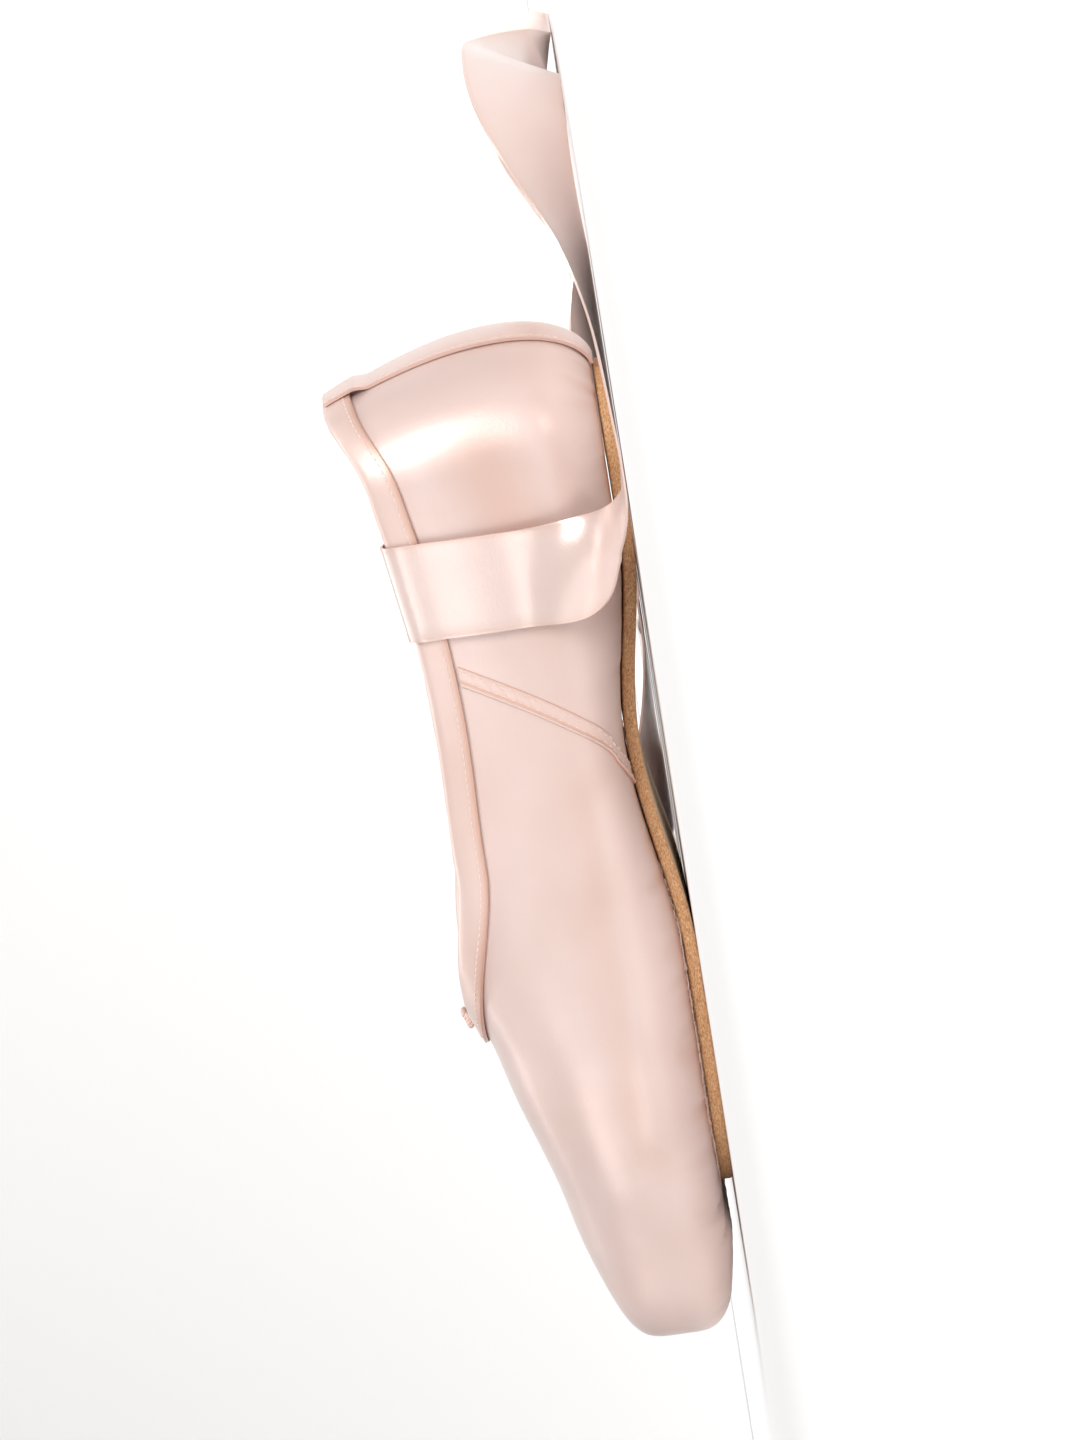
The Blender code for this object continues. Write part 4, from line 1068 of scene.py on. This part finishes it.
def stroke_strips():
    """The strokes as thin strips let into the face, because its mesh is coarser than a stroke."""
    vertices, faces = [], []
    rng = np.random.RandomState(5)
    for x0, a0, x1, a1 in strokes():
        points = np.linspace(0, 1, 7)
        xs, az = x0 + (x1 - x0) * points, a0 + (a1 - a0) * points
        wobble = 0.10 * MM * np.sin(points * 5 + rng.uniform(0, 6))
        nx, na = -(a1 - a0), (x1 - x0)
        size = math.hypot(nx, na)
        nx, na = nx / size, na / size
        xs, az = xs + nx * wobble, az + na * wobble
        limit = sole_half_width(az) - 1.8 * MM
        if np.any(np.abs(xs) > limit) or np.any(az > SOLE_FRONT - 3 * MM):
            continue
        widths = STROKE_WIDTH * (0.35 + np.sin(points * math.pi)) * rng.uniform(0.8, 1.15)
        start = len(vertices)
        for x, a, w in zip(xs, az, widths):
            z = float(sole_bottom(a))
            for s, drop in ((-1, 0.0), (1, 0.0), (1, STROKE_DEPTH), (-1, STROKE_DEPTH)):
                vertices.append((x + s * nx * w, ORIGIN_ALONG - (a + s * na * w), z - 0.03 * MM + drop))
        for i in range(6):
            for k in range(4):
                p, q = start + i * 4 + k, start + i * 4 + (k + 1) % 4
                faces.append([p, q, q + 4, p + 4])
        faces.append([start + k for k in range(4)][::-1])
        faces.append([start + 24 + k for k in range(4)])
    return vertices, faces


scored_brown = new_material("scored_line", (0.50, 0.29, 0.13), 0.75)
scored = add_object("outsole_scored_lines", *stroke_strips(), scored_brown)
dress(scored, "leather")


# The sock board
insole_half = []
for column in shoe_columns(*INSOLE_COLUMNS):
    shares = np.concatenate([[0], np.linspace(0.25, 1, 7)]) * INSOLE_SHARE
    under = column_points(column, shares, upper=False)
    under[:, 2] += WALL + INSOLE_CLEARANCE
    insole_half.append(np.concatenate([under, under[::-1] + np.array([0, 0, INSOLE_THICKNESS])]))
insole = skin("insole_sock", world(mirrored_loop(np.array(insole_half))), sock, True, sharp=50)
dress(insole, "lining", "insole")


# The binding: a casing folded over the collar, a little slack, with a row of stitches


def descend(share, along, tangent, depths):
    """Places on the upper down from the collar's edge, square to it, at each depth."""
    points, done, probe = [top_point(share, along)], 0.0, 0.01
    for depth in depths[1:]:
        steps = max(1, int(round((depth - done) / MM)))
        for _ in range(steps):
            here = top_point(share, along)
            by_share = (top_point(share + probe, along) - here) / probe
            by_along = (top_point(share, along + probe * MM) - here) / (probe * MM)
            down = np.cross(tangent, np.cross(by_share, by_along))
            down *= (depth - done) / steps / np.linalg.norm(down)
            if down @ by_share + down @ by_along * LENGTH < 0:
                down = -down
            move = np.linalg.lstsq(np.stack([by_share, by_along], axis=1), down, rcond=None)[0]
            share, along = share + move[0], along + move[1]
        done = depth
        points.append(top_point(share, along))
    return np.array(points)


def collar_grid(columns, depths):
    """Rows of places below the collar's edge, their normals, and the way up over the edge."""
    edge = mirrored_loop(np.array([upper_line(c)[-1:] for c in columns]))[:, 0]
    tangents = np.roll(edge, -1, axis=0) - np.roll(edge, 1, axis=0)
    half = []
    for column, tangent in zip(columns, tangents):
        if column["centre"] == HEEL_CENTRE:
            half.append(at_arcs(upper_line(column)[::-1], np.array(depths)))
        else:
            half.append(descend(column["high"], column["along"], tangent, depths))
    loop = mirrored_loop(np.array(half))
    normal = -normals_of(loop)
    normal[np.abs(loop[:, :, 0]) < 1e-9, 0] = 0
    normal /= np.linalg.norm(normal, axis=2, keepdims=True)
    up = loop[:, 0] - loop[:, 1]
    up /= np.linalg.norm(up, axis=1, keepdims=True)
    return loop, normal, up


collar = [c for c in columns if c["along"] <= THROAT_ALONG + 1e-9]
depths = [depth * MM for depth, _, _ in BINDING_PROFILE]
puffs = [puff * 0.36 * MM for _, puff, _ in BINDING_PROFILE]
outside_shades = [shade for _, _, shade in BINDING_PROFILE][::-1]
loop, normal, over_edge = collar_grid(collar, depths)
collar_arc = arcs_of(loop[:, 0])
collar_total = collar_arc[-1] + np.linalg.norm(loop[0, 0] - loop[-1, 0])
near, far = GAP, GAP + BINDING_THICKNESS
deep, deeper = -(WALL + 1.8 * GAP), -(WALL + 1.8 * GAP + BINDING_THICKNESS)
middle_lift = -WALL / 2
# Painted shade: the outside darkens to its lower edge where it meets the upper, and the inside of the casing
# is a little darker
line_shades = outside_shades + [0] * 5 + [0.1] * 7 + [0.3] * 7
rings, binding_shade = [], []
for n, (points, out, over) in enumerate(zip(loop, normal, over_edge)):
    s = collar_arc[n]
    at_throat = math.exp(-((min(s, collar_total - s) / (14 * MM)) ** 2))
    gather = (0.10 + 0.30 * at_throat) * MM * math.sin(s / (1.15 * MM) + 2.0 * math.sin(s / (9 * MM)))
    gather *= 0.35 + 0.65 * at_throat
    slack = 0.10 * MM * math.sin(s / (6.5 * MM)) + 0.06 * MM * math.sin(s / (2.9 * MM) + 1)
    lifts = [far + puff + (slack + gather) * (1 - k / 7) for k, puff in enumerate(puffs)]
    ring = [points[k] + out[k] * lifts[k] for k in range(6, -1, -1)]
    radius_over = far + 0.15 * MM + slack + gather
    for angle in (30, 60, 90, 120, 150):
        t = math.radians(angle)
        sideways = middle_lift + (far - deeper) / 2 * math.cos(t) * 0.98
        ring.append(points[0] + out[0] * sideways + over * radius_over * math.sin(t))
    ring += [points[k] + out[k] * deeper for k in range(0, 7)]
    ring += [points[k] + out[k] * deep for k in (6, 3, 0)]
    ring.append(points[0] + out[0] * middle_lift + over * 1.2 * near)
    ring += [points[k] + out[k] * near for k in (0, 3, 6)]
    rings.append(ring)
    # Painted shade in the gathers at the throat
    gathered = 0.5 * at_throat * (0.5 - 0.5 * math.sin(s / (1.15 * MM)))
    binding_shade.append([min(1, shade + gathered) for shade in line_shades])
rings = world(np.array(rings))
binding = skin("binding_casing", rings, trim_satin, True, attributes={"crease": binding_shade}, sharp=60)
dress(binding, "satin_trim", "binding")


def stitch_marks(points, pitch, length):
    """Start, middle and end of even stitches along a line of points."""
    position = arcs_of(points)
    count = int(position[-1] / pitch)
    marks = []
    for k in range(count):
        s = (k + 0.5) * position[-1] / count
        places = [s - length / 2, s, s + length / 2]
        marks.append(np.stack([np.interp(places, position, points[:, a]) for a in range(3)], axis=1))
    return marks


def stitch_row(name, points, outs, pitch, length, radius, lift=STITCH_LIFT):
    """Threads along a line of points, each a low arch that dips into the satin at both ends."""
    paths = []
    for a, b, c in stitch_marks(points, pitch, length):
        n = outs[int(np.argmin(((points[: len(outs)] - b) ** 2).sum(axis=1)))]
        rise, dip = n * lift * 0.7, n * lift * 2.2
        paths.append([a - dip, a + (b - a) * 0.35 + rise, b + n * lift, b + (c - b) * 0.65 + rise, c - dip])
    dress(add_object(name, *tube_mesh(paths, radius, 6), thread), "satin_trim")


row = 4
line = [points[row] + out[row] * (far + puffs[row]) for points, out in zip(loop, normal)]
stitch_line = world(np.array(line + line[:1]))
outs = normal[:, row] * np.array([1, -1, 1])
stitch_row("binding_stitches", stitch_line, outs, STITCH_PITCH, STITCH_LENGTH, STITCH_RADIUS)


# The back strip


def strip_half(fine_columns, rows):
    """The right half of the heel strip's lines, from beside the outsole up to the collar."""
    half = []
    for column in fine_columns:
        low = lower_line(column)
        line = np.concatenate([low, upper_line(column)[1:]])
        start = arcs_of(low)[-1] * BACK_STRIP_LOW_END
        end = arcs_of(line)[-1]
        half.append(at_arcs(line, start + (end - start) * rows))
    return np.array(half)


heel_fine = cap_outline(400, HEEL_CENTRE, -HEEL_CAP_LENGTH, HEEL_OUTLINE_POWER)
heel_arcs = arcs_of(heel_fine)
strip_edge = heel_arcs[-1] - BACK_STRIP_WIDTH / 2
strip_stations = at_arcs(heel_fine, np.linspace(strip_edge - 1.0 * MM, heel_arcs[-1], 18))
strip_columns = [make_column(float(x), float(a), HEEL_CENTRE) for x, a in strip_stations]
strip_columns[-1] = make_column(0.0, float(strip_stations[-1][1]), HEEL_CENTRE)
shares = np.linspace(0, 1, 68)
half = strip_half(strip_columns, shares)
full = np.concatenate([half, half[::-1][1:] * np.array([-1, 1, 1])])
strip_normal = np.cross(np.gradient(full, axis=1), np.gradient(full, axis=0))
strip_normal /= np.linalg.norm(strip_normal, axis=2, keepdims=True)
spine = full[len(full) // 2]
strip_down = arcs_of(spine)[-1] - arcs_of(spine)
step_over = smoothstep(BINDING_HEIGHT + 5 * MM, BINDING_HEIGHT + 1 * MM, strip_down)
lift = (GAP + step_over * (BINDING_THICKNESS + GAP))[None, :, None]
kept = slice(1, -1)
across_strip = np.linspace(-1, 1, len(full))[kept]
edge_roll = 0.16 * MM * np.exp(-(((np.abs(across_strip) - 0.90) / 0.07) ** 2))
dip = -0.10 * MM * np.exp(-(((np.abs(across_strip) - 0.78) / 0.06) ** 2))
x, y, z = (full[kept][..., k : k + 1] for k in range(3))
uneven = 0.05 * MM * wave(x * 300, y * 200, z * 150, 21)
thick = BACK_STRIP_THICKNESS + (edge_roll + dip)[:, None, None] + uneven
under = (full + strip_normal * lift)[kept]
over = full[kept] + strip_normal[kept] * (lift + thick)
# Painted shade along the strip's edges, where it meets the upper
strip_edge_shade = 0.75 * np.exp(-(((np.abs(across_strip) - 1.0) / 0.06) ** 2))
strip_shade = np.broadcast_to(strip_edge_shade[:, None], over.shape[:2])
tones = {"crease": np.concatenate([strip_shade, strip_shade[:, ::-1]], axis=1)}
rings = world(np.concatenate([under, over[:, ::-1]], axis=1))
back_strip = skin("back_strip_satin", rings, trim_satin, False, caps=True, attributes=tones, sharp=60)
dress(back_strip, "satin_trim", "back_strip")
for name, k in (("back_strip_stitches_left", -4), ("back_strip_stitches_right", 3)):
    outs = strip_normal[kept][k] * np.array([1, -1, 1])
    stitch_row(name, world(over[k]), outs, TAPE_STITCH_PITCH, TAPE_STITCH_LENGTH, 0.13 * MM, 0.03 * MM)


# The side seams


def wall_point(along, rise):
    """A point on the outside of the quarter, at a share of the way from the feather edge to the collar."""
    column = make_column(float(half_width(along)), along, along)
    low = lower_line(column)
    line = np.concatenate([low, upper_line(column)[1:]])
    arcs = arcs_of(line)
    start = arcs_of(low)[-1] * 0.62
    return at_arcs(line, np.array([start + (arcs[-1] - start) * rise]))[0]


def wall_normal(along, rise):
    sideways = wall_point(along + MM, rise) - wall_point(along - MM, rise)
    up = wall_point(along, min(rise + 0.01, 1)) - wall_point(along, rise - 0.01)
    normal = np.cross(sideways, up)
    normal *= np.sign(normal[0])
    return normal / np.linalg.norm(normal)


def collar_share(along, depth):
    column = make_column(float(half_width(along)), along, along)
    low = lower_line(column)
    total = arcs_of(low)[-1] * 0.38 + arcs_of(upper_line(column))[-1]
    return 1 - depth / total


def seam_along(rise):
    return SEAM_AT_SOLE + (SEAM_AT_COLLAR - SEAM_AT_SOLE) * np.sign(rise) * abs(rise) ** 0.8


def rise_beside_sole(along):
    """Where the wall comes to just outside the outsole's edge, as a share like the others, below zero."""
    column = make_column(float(half_width(along)), along, along)
    low = lower_line(column)
    arcs = arcs_of(low)
    total = arcs[-1] + arcs_of(upper_line(column))[-1]
    start = arcs[-1] * 0.62
    beside = np.interp(sole_half_width(along) + 0.9 * MM, low[:, 0], arcs)
    return float((beside - start) / (total - start))


def relief_at(x, along, z):
    """The visual upper's own relief near a place, so that what lies on it follows it."""
    k = int(np.argmin((X - x) ** 2 + (ALONG - along) ** 2 + (Z - z) ** 2))
    return float(relief.reshape(-1)[k])


def build_seam(name, side, node):
    top = collar_share(SEAM_AT_COLLAR, BINDING_HEIGHT + 0.6 * MM)
    shades = [shade for _, _, shade in SEAM_PROFILE]
    rings, lines = [], {k: [] for k in SEAM_STITCH_LANES}
    rises = np.linspace(rise_beside_sole(SEAM_AT_SOLE + 4 * MM), top, SEAM_STEPS)
    for n, rise in enumerate(rises):
        upper_ring, lower_ring = [], []
        for k, (lane, height, _) in enumerate(SEAM_PROFILE):
            along = seam_along(rise) + lane * SEAM_TAPE_WIDTH / 2
            out, point = wall_normal(along, rise), wall_point(along, rise)
            base = relief_at(side * point[0], along, point[2])
            wobble = 0.05 * math.sin(n * 0.9 + k) + (0.09 * math.sin(n * 1.9) if k in lines else 0)
            place = point + out * (base + GAP * 0.35 + (height + wobble) * SEAM_TAPE_THICKNESS)
            upper_ring.append(place)
            lower_ring.append(point + out * (base + GAP * 0.12))
            if k in lines:
                lines[k].append((place, out))
        rings.append(lower_ring + upper_ring[::-1])
    # Painted shade: the tape's underside and, on top, the profile's shade at its edges and crease
    tones = {"crease": [[0.6] * len(shades) + shades[::-1]] * len(rings)}
    rings = world(np.array(rings)) * np.array([side, 1, 1])
    obj = skin(name, rings, trim_satin, False, caps=True, attributes=tones, sharp=60)
    dress(obj, "satin_trim", node)
    for k, pairs in lines.items():
        line = world(np.array([place for place, _ in pairs])) * np.array([side, 1, 1])
        outs = np.array([out for _, out in pairs]) * np.array([side, -1, 1])
        if k == SEAM_STITCH_LANES[0]:
            line[:, 1] -= 0.25 * MM * np.sin(arcs_of(line) / TAPE_STITCH_PITCH * math.pi)
        stitch_row(f"{name}_stitches_{k}", line, outs, TAPE_STITCH_PITCH, TAPE_STITCH_LENGTH, 0.15 * MM)


build_seam("side_seam_right", 1, "side_seam_tape_right")
build_seam("side_seam_left", -1, "side_seam_tape_left")


# The drawstring's small gathered knot at the throat

front = world(top_point(0.0, THROAT_ALONG))
base_z = front[2] + GAP + BINDING_THICKNESS + 0.75 * MM


def cord_path(points, steps=14):
    """A smooth line through listed points given in millimetres from the throat's front."""
    points = np.array(points, dtype=float) * MM
    t = arcs_of(points)
    curves = [Curve(list(zip(t, points[:, k]))) for k in range(3)]
    fine = np.linspace(0, t[-1], steps * len(points))
    return np.stack([c(fine) for c in curves], axis=1) + np.array([0, front[1], base_z])


def twisted_cord(path, radius):
    """Two strands twisted round each other."""
    tangent = np.gradient(path, axis=0)
    tangent /= np.linalg.norm(tangent, axis=1, keepdims=True)
    side = np.cross(tangent, (0.1, 0.2, 0.97))
    side /= np.linalg.norm(side, axis=1, keepdims=True)
    other = np.cross(tangent, side)
    turn = arcs_of(path) / (1.6 * MM) * 2 * math.pi
    strands = []
    for phase in (0, math.pi):
        a = turn + phase
        strands.append(path + (side * np.cos(a)[:, None] + other * np.sin(a)[:, None]) * radius * 0.5)
    return strands


strands = []
for points in KNOT_LOOPS:
    strands += twisted_cord(cord_path(points), 0.62 * MM)
vertices, faces = tube_mesh(strands, 0.42 * MM, 8)
knot = add_object("drawstring_cord", vertices, faces, trim_satin, {"crease": [0.15] * len(vertices)})
dress(knot, "satin_trim", "drawstring_knot")


# The ribbons


def ribbon_seat(rise, lift):
    """Where a flat ribbon clears the quarter by a lift: place, outward normal, direction across."""
    front = wall_point(RIBBON_ALONG + RIBBON_WIDTH / 2, rise)
    back = wall_point(RIBBON_ALONG - RIBBON_WIDTH / 2, rise)
    across = (front - back) / np.linalg.norm(front - back)
    out = wall_normal(RIBBON_ALONG, rise)
    out -= across * (out @ across)
    out /= np.linalg.norm(out)
    middle = (front + back) / 2
    bulge = max(0.0, float((wall_point(RIBBON_ALONG, rise) - middle) @ out))
    return middle + out * (lift + (bulge if lift > 0 else 0)), out, across


def drape(side):
    """The ribbon's line where the shoe shapes it: up the inside, over the binding, down the outside."""
    inward = WALL + 1.8 * GAP + BINDING_THICKNESS + RIBBON_CLEARANCE
    outward = GAP + BINDING_THICKNESS + RIBBON_CLEARANCE
    places, widths = [], []
    for depth in RIBBON_DEPTHS_INSIDE:
        place, out, across = ribbon_seat(collar_share(RIBBON_ALONG, depth * MM), -inward)
        places.append(place)
        widths.append(across)
    edge, out, across = ribbon_seat(1.0, 1e-9)
    up = np.cross(across, out)
    up *= np.sign(up[2])
    for angle in RIBBON_TURNS_OVER_EDGE:
        turn = math.radians(angle)
        sideways = (outward - inward) / 2 + (outward + inward) / 2 * math.cos(turn)
        places.append(edge + out * sideways + up * outward * RIBBON_ARCH * math.sin(turn))
        widths.append(across)
    for depth in RIBBON_DEPTHS_OUTSIDE:
        place, out, across = ribbon_seat(collar_share(RIBBON_ALONG, depth * MM), outward)
        places.append(place)
        widths.append(across)
    return world(np.array(places)) * np.array([side, 1, 1]), np.array(widths) * np.array([1, -side, side])


def ribbon_line(side, floor_rows):
    held, widths = drape(side)
    x, y, z = held[-1]
    places = [tuple(p) for p in held]
    across = [tuple(w) for w in widths]
    for outwards, onwards, height, turn, lean in RIBBON_FALL:
        t, e = math.radians(turn), math.radians(lean)
        places.append((x + side * outwards * MM, y + side * onwards * MM, height * z))
        across.append((side * math.sin(t) * math.cos(e), -side * math.cos(t) * math.cos(e), math.sin(e)))
    plan = np.array([row[:2] for row in floor_rows])
    heading = np.gradient(plan, axis=0)
    heading /= np.linalg.norm(heading, axis=1, keepdims=True)
    for (x, y, lean), (hx, hy) in zip(floor_rows, heading):
        e = math.radians(lean)
        places.append((x, y, abs(math.sin(e)) * RIBBON_WIDTH / 2 + RIBBON_THICKNESS * 0.62))
        across.append((hy * math.cos(e), -hx * math.cos(e), -math.sin(e)))
    return np.array(places), np.array(across)


def smooth_rows(rows, step):
    """An even, smooth curve through rows of numbers whose first three columns are a place."""
    distance = arcs_of(rows[:, :3])
    fine = np.linspace(0, distance[-1], 40 * len(rows))
    dense = np.stack([Curve(list(zip(distance, rows[:, k])))(fine) for k in range(rows.shape[1])], axis=1)
    arcs = arcs_of(dense[:, :3])
    wanted = np.linspace(0, arcs[-1], int(round(arcs[-1] / step)) + 1)
    return np.stack([np.interp(wanted, arcs, dense[:, k]) for k in range(rows.shape[1])], axis=1)


def build_ribbon(name, node, side, floor_rows, seed):
    places, across = ribbon_line(side, floor_rows)
    rows = smooth_rows(np.concatenate([places, across], axis=1), 1.0 * MM)
    line, width = rows[:, :3], rows[:, 3:]
    along = np.gradient(line, axis=0)
    along /= np.linalg.norm(along, axis=1, keepdims=True)
    width -= along * (width * along).sum(axis=1, keepdims=True)
    width /= np.linalg.norm(width, axis=1, keepdims=True)
    face = np.cross(along, width)
    arcs = arcs_of(line)
    half_lanes, half_selvage = np.array(RIBBON_PROFILE).T
    lanes = np.concatenate([-half_lanes[:0:-1], half_lanes])
    selvage = np.concatenate([half_selvage[:0:-1], half_selvage])
    rng = np.random.RandomState(seed)
    free = smoothstep(90 * MM, 140 * MM, arcs)
    cup = free * 0.9 * MM * np.sin(arcs / (34 * MM) + rng.uniform(0, 6))
    cup += free * 0.5 * MM * np.sin(arcs / (13 * MM) + rng.uniform(0, 6))
    skew = free * 0.35 * MM * np.sin(arcs / (19 * MM) + rng.uniform(0, 6))
    rings = []
    end_tilt = 2.2 * MM
    for n, (point, w, f) in enumerate(zip(line, width, face)):
        curve = cup[n] * (1 - lanes**2) - cup[n] * 0.5 + skew[n] * lanes
        slide = end_tilt * lanes * smoothstep(arcs[-1] - 12 * MM, arcs[-1], arcs[n])
        spread = w * (lanes * RIBBON_WIDTH / 2)[:, None]
        centre = point + spread + f * curve[:, None] + along[n] * slide[:, None]
        thick = RIBBON_THICKNESS / 2 * (1 + 0.35 * selvage)[:, None]
        ring = np.concatenate([centre + f * thick, (centre - f * thick)[::-1]])
        ring[:, 2] += max(0.0, FLOOR_GAP - ring[:, 2].min())
        rings.append(ring)
    tones = {"crease": [np.concatenate([selvage, selvage[::-1]]) * 0.28] * len(rings)}
    obj = skin(name, np.array(rings), ribbon_satin, False, caps=True, attributes=tones, sharp=70)
    dress(obj, "ribbon_satin", node)


build_ribbon("ribbon_right_satin", "ribbon_right", 1, RIGHT_RIBBON_FLOOR, 31)
build_ribbon("ribbon_left_satin", "ribbon_left", -1, LEFT_RIBBON_FLOOR, 32)


# Frayed satin along the front part of the outsole's edge


def fray():
    """Paths of fine fibres that lie out from the edge, most of them round the sole's front."""
    rng = np.random.RandomState(17)
    paths = []
    rows = [r for r in outline if r[1] > 120 * MM]
    edge = np.array([(x, a) for x, a, _ in rows])
    centres = np.array([c for _, _, c in rows])
    arcs = arcs_of(edge)
    for side in (1, -1):
        for _ in range(FIBRES_A_SIDE):
            s = rng.uniform(0, arcs[-1])
            if rng.uniform() > 0.35 + 0.65 * math.exp(-(((s - 42 * MM) / (22 * MM)) ** 2)):
                continue
            x, a = np.interp(s, arcs, edge[:, 0]), np.interp(s, arcs, edge[:, 1])
            c = np.interp(s, arcs, centres)
            out = np.array([x, a - c]) / max(math.hypot(x, a - c), 1e-6)
            out = np.array([side * out[0], out[1]])
            length = rng.uniform(0.8, 3.0) * MM
            turn = rng.uniform(-0.9, 0.9)
            c, s = math.cos(turn), math.sin(turn)
            heading = np.array([out[0] * c - out[1] * s, out[0] * s + out[1] * c])
            start = np.array([side * x, a]) + out * rng.uniform(-0.2, 1.2) * MM
            points = []
            for t in np.linspace(0, 1, 5):
                p = start + heading * length * t
                below = (0.12 + 0.5 * math.sin(t * 2.6) * rng.uniform(0.4, 1.0)) * MM
                z = float(underside(abs(p[0]), p[1])) - below
                points.append((p[0], ORIGIN_ALONG - p[1], max(z, 0.1 * MM)))
            paths.append(points)
    return paths


vertices, faces = tube_mesh(fray(), 0.055 * MM, 3, taper=True)
frayed = add_object("frayed_edge", vertices, faces, fluff)
dress(frayed, "satin")


# Floor, lights and camera

FLOOR_NEAR, FLOOR_FAR, FLOOR_HALF_WIDTH = 1.8, -1.1, 3.0
FLOOR_BEND = 1.6
BACKDROP_TOP = (-2.9, 3.2)


def stage_sheet():
    """A pale floor that curves up far behind the shoe."""
    profile = [(x, 0.0) for x in np.linspace(FLOOR_NEAR, FLOOR_FAR, 30)]
    for r in np.radians(np.linspace(0, 80, 30)):
        profile.append((FLOOR_FAR - FLOOR_BEND * math.sin(r), FLOOR_BEND * (1 - math.cos(r))))
    profile.append(BACKDROP_TOP)
    vertices, faces = [], []
    for x, z in profile:
        vertices += [(x, -FLOOR_HALF_WIDTH, z), (x, FLOOR_HALF_WIDTH, z)]
    for i in range(len(profile) - 1):
        faces.append([2 * i, 2 * i + 1, 2 * i + 3, 2 * i + 2])
    return vertices, faces


paper = new_material("backdrop", (0.93, 0.925, 0.92), 0.9, Specular_IOR_Level=0.1)
floor = add_object("studio_floor", *stage_sheet(), paper)
floor.data.flip_normals()


# Name, place, where it aims, size, power
LIGHTS = [
    ("key", (1.15, 0.86, 0.68), (0, -0.01, 0.035), (0.70, 0.70), 14.5),
    ("fill", (1.5, -1.0, 0.6), (0, -0.08, 0.03), (1.2, 0.8), 5.5),
    ("top", (-0.3, -0.1, 1.6), (0, -0.08, 0.03), (1.4, 1.4), 6.0),
    ("backdrop", (-0.5, 0.2, 1.5), (-2.4, 0.6, 0.3), (2.4, 1.2), 30.0),
]
AMBIENT = 0.40


def area_light(name, place, aim, size, energy):
    data = bpy.data.lights.new(name, "AREA")
    data.shape = "RECTANGLE"
    data.size, data.size_y = size
    data.energy = energy
    obj = bpy.data.objects.new(name, data)
    obj.location = place
    obj.rotation_euler = (Vector(aim) - Vector(place)).to_track_quat("-Z", "Y").to_euler()
    bpy.context.scene.collection.objects.link(obj)


for light in LIGHTS:
    area_light(*light)
scene = bpy.context.scene
background = bpy.data.worlds.new("studio")
scene.world = background
background.use_nodes = True
background.node_tree.nodes["Background"].inputs["Color"].default_value = (1, 0.99, 0.985, 1)
background.node_tree.nodes["Background"].inputs["Strength"].default_value = AMBIENT
scene.view_settings.view_transform = "Standard"

# The photo's side view, with the heel up and the toe down, from just above the floor
AZIMUTH, ELEVATION, ROLL = 105, -0.8, 99
DISTANCE, TALL = 1.25, 0.325
SENSOR = 36
AIM = Vector((-0.005, -0.0625, 0.027))
a, e = math.radians(AZIMUTH), math.radians(ELEVATION)
back = Vector((math.sin(a) * math.cos(e), -math.cos(a) * math.cos(e), math.sin(e)))
right0 = Vector((0, 0, 1)).cross(back).normalized()
up0 = back.cross(right0)
r = math.radians(ROLL)
right = right0 * math.cos(r) - up0 * math.sin(r)
up = right0 * math.sin(r) + up0 * math.cos(r)
camera = bpy.data.objects.new("camera", bpy.data.cameras.new("camera"))
camera.data.sensor_width = SENSOR
camera.data.lens = SENSOR * DISTANCE / TALL
turn = Matrix((right, up, back)).transposed()
camera.matrix_world = Matrix.Translation(AIM + back * DISTANCE) @ turn.to_4x4()
camera.data.clip_start, camera.data.clip_end = 0.02, 20
scene.collection.objects.link(camera)
scene.camera = camera
